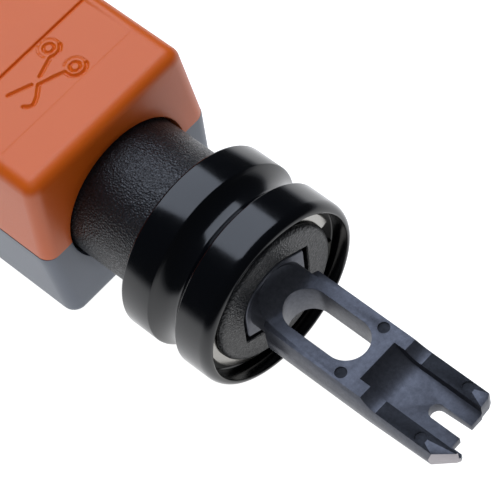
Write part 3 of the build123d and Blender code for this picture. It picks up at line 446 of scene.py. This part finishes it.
def shell_rings(fine_rows, extra_wide, flat_bottom, lift):
    """All rings of one shell, from the butt forward outside, through the barrel hole and back inside."""
    def outer(depth, inset=0.0):
        wide, high = handle_size(depth)
        if flat_bottom:
            high = stations[0][2]
        return half_ring(-depth, wide + extra_wide - inset, high - inset, max(edge_round - inset, 0.1), lift)
    rings = []
    for s, c in quarter(6):
        rings.append(outer(handle_length - butt_round * (1 - c), butt_round * (1 - s)))
    rings += [outer(depth) for depth in range(int(handle_length) - 3, 14, -1)]
    rings += [outer(14.5 * (1 - k / fine_rows) + face_round * k / fine_rows) for k in range(fine_rows + 1)]
    for s, c in quarter(8)[1:]:
        rings.append(outer(face_round * (1 - s), face_round * (1 - c)))
    face = rings[-1]
    hole = half_circle(0.0, barrel_hole_r + 0.25, face)
    rings += [between(face, hole, share) for share in (0.33, 0.66)]
    rings += [hole, half_circle(-0.07, barrel_hole_r + 0.07, face), half_circle(-0.25, barrel_hole_r, face),
              half_circle(-wall, barrel_hole_r, face)]
    inner = [half_ring(x, 9.4, 9.9, 2.5, 0.0) for x in (-wall, butt_wall - handle_length)]
    inner = [[(x, y * 9.4 / max(9.4, abs(ring[0][1])), z) for x, y, z in ring] for ring in inner]
    rings += inner
    rings += [half_circle(butt_wall - handle_length, screw_hole_r, inner[-1]),
              half_circle(-handle_length, screw_hole_r, inner[-1])]
    rings.append(between(rings[-1], rings[0], 0.5))
    return rings


def shell_mesh(name, rings, side):
    """Closed shell from half rings; the two parting faces are capped."""
    count = len(rings[0])
    points = [(x, y, z * side) for ring in rings for x, y, z in ring]
    faces = []
    for i in range(len(rings)):
        low, high = i * count, ((i + 1) % len(rings)) * count
        faces += [(low + j, low + j + 1, high + j + 1, high + j) for j in range(count - 1)]
    for edge in (0, count - 1):
        faces.append(tuple(i * count + edge for i in range(len(rings))))
    return solid(name, points, faces)


def stroke_depth(x, y, path, width, depth):
    """Depth of a round-bottomed engraved line at a point of the roof."""
    best = 1e9
    for (ax, ay), (bx, by) in zip(path, path[1:]):
        run = (bx - ax) ** 2 + (by - ay) ** 2
        share = max(0.0, min(1.0, ((x - ax) * (bx - ax) + (y - ay) * (by - ay)) / run))
        best = min(best, math.hypot(x - ax - share * (bx - ax), y - ay - share * (by - ay)))
    return depth * ease(1.35 * (1 - best / (width / 2)))


def ring_path(x, y, r, start, turn):
    """Points of an arc in plan; angles in degrees from +X towards +Y."""
    angles = [math.radians(start + turn * k / 40) for k in range(41)]
    return [(x + r * math.cos(a), y + r * math.sin(a)) for a in angles]


finger_r, finger_hole_r = 1.22, 0.58
rear_ring, front_ring = (-11.58, 2.98), (-7.6, 2.96)
deep_strokes = [
    ring_path(*rear_ring, finger_r, 62, -96) + [(-10.48, 1.93), (-9.72, -0.18)],
    ring_path(*front_ring, finger_r, 62, -170) + [(-8.48, 0.67), (-9.08, -1.01)],
    [(-9.08, -1.01), (-8.72, -1.48), (-8.23, -2.04), (-7.87, -2.7), (-7.72, -3.1), (-7.8, -3.42),
     (-8.02, -3.74), (-8.39, -3.96)],
    [(-9.68, -1.49), (-10.21, -2.67), (-10.73, -3.93)],
]
fine_strokes = [ring_path(*rear_ring, finger_r, 62, 230), ring_path(*front_ring, finger_r, 62, 150)]
hole_strokes = [ring_path(*rear_ring, finger_hole_r, 0, 360), ring_path(*front_ring, finger_hole_r, 0, 360)]


def roof_depth(x, y):
    """How far the recess, the scored line and the symbol lie below the roof."""
    if x > -land or abs(y) > recess_half + 0.5:
        return 0.0
    ramp = min(1.0, (-x - land) / recess_ramp, max(0.0, (recess_end + x) / 30))
    depth = recess_depth * ramp * ease((recess_half + 0.25 - abs(y)) / 0.5)
    if -x < 16:
        depth += 0.035 * ease((-x - land) / 0.15) * ease((recess_half + 0.1 - abs(y)) / 0.3)
        inside = 1 - abs(x - scored_line) / (scored_width / 2)
        cut = 0.3 * ease(1.35 * inside) if abs(y) < recess_half else 0.0
        if -13 < x < -6 and -4.5 < y < 4.6:
            for paths, width, deep in ((deep_strokes, 0.52, engraving), (fine_strokes, 0.3, 0.1),
                                       (hole_strokes, 0.4, 0.24)):
                cut = max([cut] + [stroke_depth(x, y, path, width, deep) for path in paths])
        depth += cut
    return depth


upper_rings = shell_rings(116, 0.0, False, 0.05)
roof_first, roof_last = side_steps + corner_steps, side_steps + corner_steps + top_steps
outside_rows = 7 + (int(handle_length) - 3 - 14) + 117 + 8
for i in range(outside_rows):
    ring = upper_rings[i]
    for j in range(roof_first, roof_last + 1):
        x, y, z = ring[j]
        ring[j] = (x, y, z - roof_depth(x, y))
upper = shell_mesh("orange_handle_shell", upper_rings, 1)
smooth(upper, 38)
lower = shell_mesh("grey_handle_shell", shell_rings(12, 0.06, True, 0.05), -1)

screw_rows, screw_side = (-39.5, -105.5), 6.9
counterbore_r, head_seat_z = 2.7, -8.0


def cylinder(name, centre, r, low, high, axis="Z", count=64):
    """A closed cylinder along Z or Y, in mm, for cutting."""
    turns = [2 * math.pi * j / count for j in range(count)]
    if axis == "Z":
        rings = [[(centre[0] + r * math.cos(t), centre[1] + r * math.sin(t), z) for t in turns]
                 for z in (low, high)]
    else:
        rings = [[(centre[0] + r * math.cos(t), y, centre[1] + r * math.sin(t)) for t in turns]
                 for y in (low, high)]
    return skin(name, rings, ends="capped")


def combine(target, tool, operation):
    """Applies a boolean and removes the tool."""
    step = target.modifiers.new(operation.lower(), "BOOLEAN")
    step.operation, step.object, step.solver = operation, tool, "EXACT"
    graph = bpy.context.evaluated_depsgraph_get()
    result = bpy.data.meshes.new_from_object(target.evaluated_get(graph))
    target.modifiers.clear()
    target.data = result
    bpy.data.objects.remove(tool)


for x in screw_rows:
    for y in (-screw_side, screw_side):
        combine(lower, cylinder("hole", (x, y), counterbore_r, -14, head_seat_z), "DIFFERENCE")
smooth(lower, 38)

# Moulded ABS: a soft skin shine over a very fine grain of 0.1 mm, colour slightly uneven in patches
# of about 6 mm where the melt cooled.
orange_abs, tree = new_material("moulded_orange_abs")
spots = add(tree, "ShaderNodeTexCoord").outputs["Object"]
patches = add(tree, "ShaderNodeTexNoise", {"Vector": spots, "Scale": 160.0, "Detail": 3.0})
grain = add(tree, "ShaderNodeTexNoise", {"Vector": spots, "Scale": 9000.0, "Detail": 2.0})
tone = add(tree, "ShaderNodeMix", {"Factor": patches.outputs["Fac"], "A": colour("#CB5806"),
                                   "B": colour("#D25E0A")}, data_type="RGBA")
rough = add(tree, "ShaderNodeMapRange", {"Value": grain.outputs["Fac"], "To Min": 0.36, "To Max": 0.48})
bump = add(tree, "ShaderNodeBump", {"Height": grain.outputs["Fac"], "Strength": 0.12, "Distance": 0.00002})
finish_material(tree, add(tree, "ShaderNodeBsdfPrincipled", {
    "Base Color": tone.outputs["Result"], "Roughness": rough.outputs["Result"], "IOR": 1.54,
    "Subsurface Weight": 0.08, "Subsurface Radius": (0.0012, 0.0005, 0.0001), "Subsurface Scale": 1.0,
    "Normal": bump.outputs["Normal"]}))
upper.data.materials.append(orange_abs)

# Grey ABS: the same moulding, a little duller, with a bluish tint.
grey_abs, tree = new_material("moulded_grey_abs")
spots = add(tree, "ShaderNodeTexCoord").outputs["Object"]
patches = add(tree, "ShaderNodeTexNoise", {"Vector": spots, "Scale": 160.0, "Detail": 3.0})
grain = add(tree, "ShaderNodeTexNoise", {"Vector": spots, "Scale": 8000.0, "Detail": 2.0})
tone = add(tree, "ShaderNodeMix", {"Factor": patches.outputs["Fac"], "A": colour("#535B69"),
                                   "B": colour("#5B6371")}, data_type="RGBA")
bump = add(tree, "ShaderNodeBump", {"Height": grain.outputs["Fac"], "Strength": 0.15, "Distance": 0.00002})
finish_material(tree, add(tree, "ShaderNodeBsdfPrincipled", {
    "Base Color": tone.outputs["Result"], "Roughness": 0.42, "IOR": 1.54, "Normal": bump.outputs["Normal"]}))
lower.data.materials.clear()
lower.data.materials.append(grey_abs)
for shell, node_name, slot_name in ((upper, "upper_shell", "orange_shell"),
                                    (lower, "lower_shell", "grey_shell")):
    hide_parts(node_name)
    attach(shell, "housing")

# ---- Shell screws ------------------------------------------------------------------------
# Four zinc-plated steel screws, cold-headed with a cross recess, that come up from the underside of
# the lower shell and pull the two shells together. Their shanks are plain, without threads.
screw_row_gap, screw_side_gap = screw_rows[0] - screw_rows[1], 2 * screw_side
screw_middle_x = sum(screw_rows) / 2
screw_head_r, screw_head_thick, screw_shank_r = 2.5, 1.6, 1.4
screw_seat_z, screw_top_z, recess_reach, recess_wide, recess_deep = -8.0, 6.0, 3.0, 0.6, 0.9

# Bright zinc plating: spangle about 0.4 mm across, a faint blue passivation and fine handling marks.
zinc, tree = new_material("zinc_plated_steel")
spots = add(tree, "ShaderNodeTexCoord").outputs["Object"]
spangle = add(tree, "ShaderNodeTexVoronoi", {"Vector": spots, "Scale": 2500.0})
tone = add(tree, "ShaderNodeMix", {"Factor": spangle.outputs["Distance"], "A": colour("#B9BFC8"),
                                   "B": colour("#9BA1AB")}, data_type="RGBA")
rough = add(tree, "ShaderNodeMapRange", {"Value": spangle.outputs["Distance"], "To Min": 0.24, "To Max": 0.4})
bump = add(tree, "ShaderNodeBump", {"Height": spangle.outputs["Distance"], "Strength": 0.15,
                                    "Distance": 0.00001})
finish_material(tree, add(tree, "ShaderNodeBsdfPrincipled", {
    "Base Color": tone.outputs["Result"], "Metallic": 1.0, "Roughness": rough.outputs["Result"],
    "Normal": bump.outputs["Normal"]}))


def scaled(tree, socket, share):
    """A size times a fixed share."""
    product = add(tree, "ShaderNodeMath", {0: socket, 1: share}, operation="MULTIPLY")
    return product.outputs["Value"]


def screw_tree(material):
    """Node tree that sets one screw at each corner of a rectangle, each turned by chance."""
    tree = bpy.data.node_groups.new("screws_at_corners", "GeometryNodeTree")
    tree.interface.new_socket("Geometry", in_out="OUTPUT", socket_type="NodeSocketGeometry")
    sizes = {}
    for name in ("Row Gap", "Side Gap", "Head Radius", "Head Thickness", "Shank Radius", "Shank Length",
                 "Recess Reach", "Recess Width", "Recess Depth"):
        socket = tree.interface.new_socket(name, in_out="INPUT", socket_type="NodeSocketFloat")
        sizes[name] = socket.identifier
    given = add(tree, "NodeGroupInput").outputs
    head = add(tree, "GeometryNodeMeshCylinder", {"Vertices": 64, "Radius": given["Head Radius"],
                                                  "Depth": given["Head Thickness"]})
    shank = add(tree, "GeometryNodeMeshCylinder", {"Vertices": 40, "Radius": given["Shank Radius"],
                                                   "Depth": given["Shank Length"]})
    head_at = add(tree, "ShaderNodeCombineXYZ", {"Z": scaled(tree, given["Head Thickness"], -0.5)})
    shank_at = add(tree, "ShaderNodeCombineXYZ", {"Z": scaled(tree, given["Shank Length"], 0.5)})
    recess_at = add(tree, "ShaderNodeCombineXYZ", {"Z": scaled(tree, given["Head Thickness"], -1.0)})
    head = add(tree, "GeometryNodeTransform", {"Geometry": head.outputs["Mesh"],
                                               "Translation": head_at.outputs[0]})
    shank = add(tree, "GeometryNodeTransform", {"Geometry": shank.outputs["Mesh"],
                                                "Translation": shank_at.outputs[0]})
    whole = add(tree, "GeometryNodeMeshBoolean", operation="UNION", solver="EXACT")
    tree.links.new(head.outputs["Geometry"], whole.inputs["Mesh 2"])
    tree.links.new(shank.outputs["Geometry"], whole.inputs["Mesh 2"])
    cut = whole
    for across in (False, True):
        size = add(tree, "ShaderNodeCombineXYZ", {
            "X": given["Recess Width" if across else "Recess Reach"],
            "Y": given["Recess Reach" if across else "Recess Width"],
            "Z": scaled(tree, given["Recess Depth"], 2.0)})
        bar = add(tree, "GeometryNodeMeshCube", {"Size": size.outputs[0]})
        bar = add(tree, "GeometryNodeTransform", {"Geometry": bar.outputs["Mesh"],
                                                  "Translation": recess_at.outputs[0]})
        cut_next = add(tree, "GeometryNodeMeshBoolean", {"Mesh 1": cut.outputs["Mesh"]},
                       operation="DIFFERENCE", solver="EXACT")
        tree.links.new(bar.outputs["Geometry"], cut_next.inputs["Mesh 2"])
        cut = cut_next
    corners = add(tree, "GeometryNodeMeshGrid", {"Size X": given["Row Gap"], "Size Y": given["Side Gap"],
                                                 "Vertices X": 2, "Vertices Y": 2})
    chance = add(tree, "FunctionNodeRandomValue", {0: (0, 0, 0), 1: (0, 0, math.pi / 2), "Seed": 3},
                 data_type="FLOAT_VECTOR")
    screws = add(tree, "GeometryNodeInstanceOnPoints", {"Points": corners.outputs["Mesh"],
                                                        "Instance": cut.outputs["Mesh"],
                                                        "Rotation": chance.outputs[0]})
    real = add(tree, "GeometryNodeRealizeInstances", {"Geometry": screws.outputs["Instances"]})
    painted = add(tree, "GeometryNodeSetMaterial", {"Geometry": real.outputs["Geometry"],
                                                         "Material": material})
    add(tree, "NodeGroupOutput", {"Geometry": painted.outputs["Geometry"]})
    return tree, sizes


tree, sizes = screw_tree(zinc)
screws = bpy.data.objects.new("screws", bpy.data.meshes.new("screws"))
bpy.context.collection.objects.link(screws)
maker = screws.modifiers.new("screws", "NODES")
maker.node_group = tree
for name, value in (("Row Gap", screw_row_gap), ("Side Gap", screw_side_gap), ("Head Radius", screw_head_r),
                    ("Head Thickness", screw_head_thick), ("Shank Radius", screw_shank_r),
                    ("Shank Length", screw_top_z - screw_seat_z), ("Recess Reach", recess_reach),
                    ("Recess Width", recess_wide), ("Recess Depth", recess_deep)):
    maker[sizes[name]] = value * MM
made = bpy.data.meshes.new_from_object(screws.evaluated_get(bpy.context.evaluated_depsgraph_get()))
screws.modifiers.remove(maker)
made.transform(Matrix.Translation(place([(screw_middle_x, 0, screw_seat_z)])[0]))
screws.data = made
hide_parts("shell_screws")
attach(screws, "housing")

# ---- Blade -------------------------------------------------------------------------------
# One piece of metal-injection-moulded tool steel with a dark phosphate skin. Round shank, lugs and
# wings go into the nose; ahead of them stand the slotted block, the fork and the cutter, whose
# slanted end is ground bright.
block_rear, tip_x = 23.3, 48.15
blade_top, blade_bottom, rail_top, fork_top = 1.53, -2.5, 0.79, -0.34
channel_half, channel_rear, step_x = 2.62, 35.27, 36.69
rail_curve_r, channel_curve_r = 3.2, 4.0
boss_r, flare_end = 3.85, 24.3


def prism(name, outline, axis, low, high):
    """A closed prism: the outline lies in the plane across the axis."""
    spread = {"X": lambda a, b, t: (t, a, b), "Y": lambda a, b, t: (a, t, b),
              "Z": lambda a, b, t: (a, b, t)}[axis]
    return skin(name, [[spread(a, b, t) for a, b in outline] for t in (low, high)], ends="capped")


def arc(cx, cy, r, start, turn, steps):
    """Points of an arc; angles in degrees."""
    angles = [math.radians(start + turn * k / steps) for k in range(steps + 1)]
    return [(cx + r * math.cos(a), cy + r * math.sin(a)) for a in angles]


def hollow(x, high, low, r):
    """Points of an arc that leaves (x, high) steeply and runs out level at the lower height."""
    drop = abs(high - low)
    whole = math.acos(1 - drop / r)
    sign = 1 if high > low else -1
    run = r * math.sin(whole)
    turns = [whole * (1 - k / 18) for k in range(19)]
    return [(x + run - r * math.sin(t), low + sign * r * (1 - math.cos(t))) for t in turns]


side = [(block_rear, blade_bottom), (37.5, blade_bottom), (tip_x, -1.05), (tip_x, rail_top)]
side += hollow(step_x, blade_top, rail_top, rail_curve_r)[::-1] + [(block_rear, blade_top)]
blade = prism("blade_block", side, "Y", -6, 6)
combine(blade, prism("sides", [(4.18, 1.53), (4.62, -0.4), (4.3, -2.5), (-4.3, -2.5), (-4.62, -0.4),
                               (-4.18, 1.53)],
                     "X", 20, 50), "INTERSECT")
plan = arc(block_rear + 1.6, 3.0, 1.6, 90, 90, 10) + arc(block_rear + 1.6, -3.0, 1.6, 180, 90, 10)
plan = [(block_rear + 1.6, 4.8)] + arc(block_rear + 1.6, 3.2, 1.6, 90, 90, 10)
plan += arc(block_rear + 1.6, -3.2, 1.6, 180, 90, 10)
plan += [(45.49, -4.8), (47.9, -2.82), (48.12, -2.45), (47.95, -2.1), (46.65, -2.1), (46.65, 2.37),
         (46.5, 2.67)]
plan += [(46.4, 3.82), (46.1, 4.4), (45.4, 4.8)]
combine(blade, prism("plan", plan, "Z", -5, 5), "INTERSECT")
wing_front = 21.25
flare = []
for high, low in ((boss_r, blade_top), (-boss_r, blade_bottom)):
    drop = abs(high - low)
    flare.append(hollow(wing_front, high, low, ((flare_end - wing_front) ** 2 + drop ** 2) / (2 * drop)))
boss = prism("boss", flare[0] + [(25, blade_top), (25, blade_bottom)] + flare[1][::-1], "Y", -5, 5)
round_boss = skin("round", [circle_ring(x, boss_r, 96) for x in (wing_front - 0.3, 24.9)], ends="capped")
combine(boss, round_boss, "INTERSECT")
combine(blade, boss, "UNION")
channel = hollow(channel_rear, blade_top, fork_top, channel_curve_r)
channel += [(52, fork_top), (52, 4), (channel_rear, 4)]
combine(blade, prism("channel", channel, "Y", -channel_half, channel_half), "DIFFERENCE")
notch = arc(42.95, 0, 0.87, 90, 180, 20) + [(52, -0.87), (52, 0.87)]
combine(blade, prism("notch", notch, "Z", -5, 5), "DIFFERENCE")
slot_outline = arc(25.8, 0, 2.51, 90, 180, 32) + arc(31.22, 0, 2.51, -90, 180, 32)
combine(blade, prism("slot", slot_outline, "Z", -5, 5), "DIFFERENCE")
marks = [(x, hand * y, z) for x, y, z in ((33.31, 3.26, blade_top), (44.05, 3.58, rail_top))
         for hand in (-1, 1)]
for x, y, z in marks:
    combine(blade, cylinder("mark", (x, y), 0.66, z - 0.12, z + 1, count=40), "DIFFERENCE")

around = 96
shank_end, lug_front, lug_rear = 1.0, 13.85, 12.05
wing_back = 18.55
shank_rings = [circle_ring(shank_end, 2.6, around), circle_ring(shank_end + 0.4, 3.0, around),
               circle_ring(lug_rear, 3.0, around), lens_ring(lug_rear, 4.4, 5.3, around),
               lens_ring(lug_front, 4.4, 5.3, around), circle_ring(lug_front, 3.6, around),
               circle_ring(wing_back, 3.6, around), lens_ring(wing_back, 4.4, 5.3, around),
               lens_ring(wing_front - 0.1, 4.4, 5.3, around), lens_ring(wing_front, 4.3, 5.2, around),
               circle_ring(wing_front, 1.0, around)]
combine(blade, skin("shank", shank_rings, ends="capped"), "UNION")
shape = bmesh.new()
shape.from_mesh(blade.data)
bmesh.ops.remove_doubles(shape, verts=shape.verts, dist=2e-6)
bmesh.ops.dissolve_limit(shape, angle_limit=math.radians(0.5), verts=shape.verts, edges=shape.edges)
shape.to_mesh(blade.data)
shape.free()
softened = blade.modifiers.new("soft_edges", "BEVEL")
softened.width, softened.segments, softened.limit_method = 0.00009, 2, "ANGLE"
softened.angle_limit = math.radians(35)
softened.harden_normals = False
graph = bpy.context.evaluated_depsgraph_get()
blade.data = bpy.data.meshes.new_from_object(blade.evaluated_get(graph))
blade.modifiers.clear()
smooth(blade, 30)

def phosphate(name, dark, light, roughest):
    """Dark crystal skin: mottling of about 0.5 mm over a grain of 0.12 mm."""
    made, tree = new_material(name)
    spots = add(tree, "ShaderNodeTexCoord").outputs["Object"]
    mottle = add(tree, "ShaderNodeTexNoise", {"Vector": spots, "Scale": 2100.0, "Detail": 5.0,
                                                 "Roughness": 0.7})
    crystal = add(tree, "ShaderNodeTexNoise", {"Vector": spots, "Scale": 8000.0, "Detail": 2.0})
    tone = add(tree, "ShaderNodeMix", {"Factor": mottle.outputs["Fac"], "A": colour(dark),
                                       "B": colour(light)}, data_type="RGBA")
    rough = add(tree, "ShaderNodeMapRange", {"Value": mottle.outputs["Fac"], "To Min": roughest,
                                               "To Max": 0.34})
    bump = add(tree, "ShaderNodeBump", {"Height": crystal.outputs["Fac"], "Strength": 0.35,
                                        "Distance": 0.00002})
    finish_material(tree, add(tree, "ShaderNodeBsdfPrincipled", {
        "Base Color": tone.outputs["Result"], "Metallic": 0.7, "Roughness": rough.outputs["Result"],
        "Normal": bump.outputs["Normal"]}))
    return made


# Phosphated tool steel: blue-grey satin; the floors of the mould's pin marks stay darker.
phosphated = phosphate("phosphated_tool_steel", "#34363D", "#5E616B", 0.46)
pin_marks = phosphate("phosphated_pin_marks", "#15171B", "#2A2C33", 0.7)

# Fresh ground steel on the cutter's end: straight grinding lines 0.06 mm apart.
fresh_ground, tree = new_material("fresh_ground_cutter_face")
spots = add(tree, "ShaderNodeTexCoord").outputs["Object"]
stretched = add(tree, "ShaderNodeMapping", {"Vector": spots, "Scale": (1200, 1200, 14000)})
lines = add(tree, "ShaderNodeTexNoise", {"Vector": stretched.outputs["Vector"], "Scale": 1.0, "Detail": 3.0})
rough = add(tree, "ShaderNodeMapRange", {"Value": lines.outputs["Fac"], "To Min": 0.3, "To Max": 0.5})
tone = add(tree, "ShaderNodeMix", {"Factor": lines.outputs["Fac"], "A": colour("#8C888C"),
                                   "B": colour("#B3AEB0")}, data_type="RGBA")
finish_material(tree, add(tree, "ShaderNodeBsdfPrincipled", {
    "Base Color": tone.outputs["Result"], "Metallic": 1.0, "Roughness": rough.outputs["Result"]}))
blade.data.materials.clear()
blade.data.materials.append(phosphated)
blade.data.materials.append(fresh_ground)
blade.data.materials.append(pin_marks)
cutter_normal = Vector((1.98, -2.41, 0)).normalized()
cutter_x = front_x + 45.0 * MM
for face in blade.data.polygons:
    face.material_index = int(face.center.x > cutter_x and face.center.y < 0 and
                              face.normal.dot(cutter_normal) > 0.93)
    for spot in marks:
        if (Vector(place([spot])[0]) - face.center).length < 0.5 * MM and face.normal.z > 0.9:
            face.material_index = 2
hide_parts("blade")
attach(blade, "blade")

# ---- Force knob --------------------------------------------------------------------------
# Moulded nylon knob at the butt that sets the hammer's force. Sixteen flutes give the fingers a
# grip, and a pin through it and its screw keeps the two together.
knob_front, knob_rear, knob_r = -115.2, -125.0, 9.5
flute_count, flute_depth = 16, 0.5
knob_round = 2.0
around = 320


def fluted_ring(x, r, depth):
    ring = []
    for j in range(around):
        turn = 2 * math.pi * j / around
        dip = depth * ease(1 - abs((turn * flute_count / (2 * math.pi)) % 1 - 0.5) / 0.28)
        ring.append((x, (r - dip) * math.cos(turn), (r - dip) * math.sin(turn)))
    return ring


rings = [circle_ring(knob_front, 3.0, around), circle_ring(knob_front, knob_r - 0.5, around)]
rings += [circle_ring(knob_front - 0.5 * s, knob_r - 0.5 + 0.5 * s, around) for s, c in quarter(4)[1:]]
rings += [circle_ring(knob_front - 1.6, knob_r, around),
          fluted_ring(knob_front - 2.0, knob_r, flute_depth * 0.5),
          fluted_ring(knob_front - 2.4, knob_r, flute_depth)]
rings += [fluted_ring(knob_rear + knob_round - knob_round * s, knob_r - knob_round * (1 - c), flute_depth * c)
          for s, c in quarter(10)]
rings += [circle_ring(knob_rear, r, around) for r in (6.9, 6.6)]
rings += [circle_ring(knob_rear + 0.35, r, around) for r in (6.4, 3.0)]
rings += [circle_ring(knob_rear + 0.6, 0.6, around)]
knob = skin("force_knob_body", rings, ends="capped")
smooth(knob, 35)

# Satin nylon: dark grey-black, grain of 0.15 mm.
satin_nylon, tree = new_material("satin_black_nylon")
spots = add(tree, "ShaderNodeTexCoord").outputs["Object"]
grain = add(tree, "ShaderNodeTexNoise", {"Vector": spots, "Scale": 6500.0, "Detail": 2.0})
bump = add(tree, "ShaderNodeBump", {"Height": grain.outputs["Fac"], "Strength": 0.3, "Distance": 0.00003})
rough = add(tree, "ShaderNodeMapRange", {"Value": grain.outputs["Fac"], "To Min": 0.4, "To Max": 0.52})
finish_material(tree, add(tree, "ShaderNodeBsdfPrincipled", {
    "Base Color": colour("#1D1E21"), "Roughness": rough.outputs["Result"], "IOR": 1.53,
    "Normal": bump.outputs["Normal"]}))
knob.data.materials.append(satin_nylon)
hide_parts("force_knob")
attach(knob, "knob")

# ---- Floor and light ---------------------------------------------------------------------
# A white sweep under the tool, a large soft box overhead behind it, and dim surroundings.
floor_data = bpy.data.meshes.new("floor")
floor_half, floor_drop = 2, 0.0001
floor_data.from_pydata([(-floor_half, -floor_half, -floor_drop), (floor_half, -floor_half, -floor_drop),
                        (floor_half, floor_half, -floor_drop), (-floor_half, floor_half, -floor_drop)],
                       [], [(0, 1, 2, 3)])
floor = bpy.data.objects.new("floor", floor_data)
bpy.context.collection.objects.link(floor)
white_sweep, tree = new_material("white_sweep")
seen = add(tree, "ShaderNodeLightPath").outputs["Is Camera Ray"]
spots = add(tree, "ShaderNodeTexCoord").outputs["Object"]
away = add(tree, "ShaderNodeVectorMath", {0: spots}, operation="LENGTH")
near = add(tree, "ShaderNodeMapRange", {"Value": away.outputs["Value"], "From Min": 0.08, "From Max": 0.22,
                                        "To Min": 0.95, "To Max": 0.0})
glow = add(tree, "ShaderNodeMath", {0: seen, 1: near.outputs["Result"]}, operation="MAXIMUM")
finish_material(tree, add(tree, "ShaderNodeBsdfPrincipled", {
    "Base Color": (0.4, 0.4, 0.4, 1), "Roughness": 0.8, "Emission Color": (1, 1, 1, 1),
    "Emission Strength": glow.outputs["Value"]}))
floor_data.materials.append(white_sweep)

world = bpy.data.worlds.new("dim_studio")
world.use_nodes = True
world.node_tree.nodes["Background"].inputs["Color"].default_value = (0.85, 0.92, 1.0, 1)
world.node_tree.nodes["Background"].inputs["Strength"].default_value = 0.05
bpy.context.scene.world = world


def soft_box(name, direction, distance, size_x, size_y, power, tint=(1, 1, 1)):
    """A rectangular area light that faces the collar."""
    light = bpy.data.lights.new(name, "AREA")
    light.shape, light.size, light.size_y = "RECTANGLE", size_x, size_y
    light.energy, light.color = power, tint
    lamp = bpy.data.objects.new(name, light)
    away = Vector(direction).normalized()
    target = Vector(place([(12, 0, 0)])[0])
    across = Vector((1, 0, 0)) - away * away.x
    across.normalize()
    lamp.matrix_world = (Matrix.Translation(target + away * distance)
                         @ Matrix((across, away.cross(across), away)).transposed().to_4x4())
    bpy.context.collection.objects.link(lamp)
    return lamp


soft_box("overhead_box", (-0.47, 0.22, 0.82), 0.6, 0.5, 0.62, 2.8, (0.76, 0.84, 1.0))
fill = soft_box("fill_box", (0.1, -0.1, 1.0), 0.9, 1.2, 1.2, 5.8, (0.97, 0.98, 1.0))
fill.visible_glossy = False
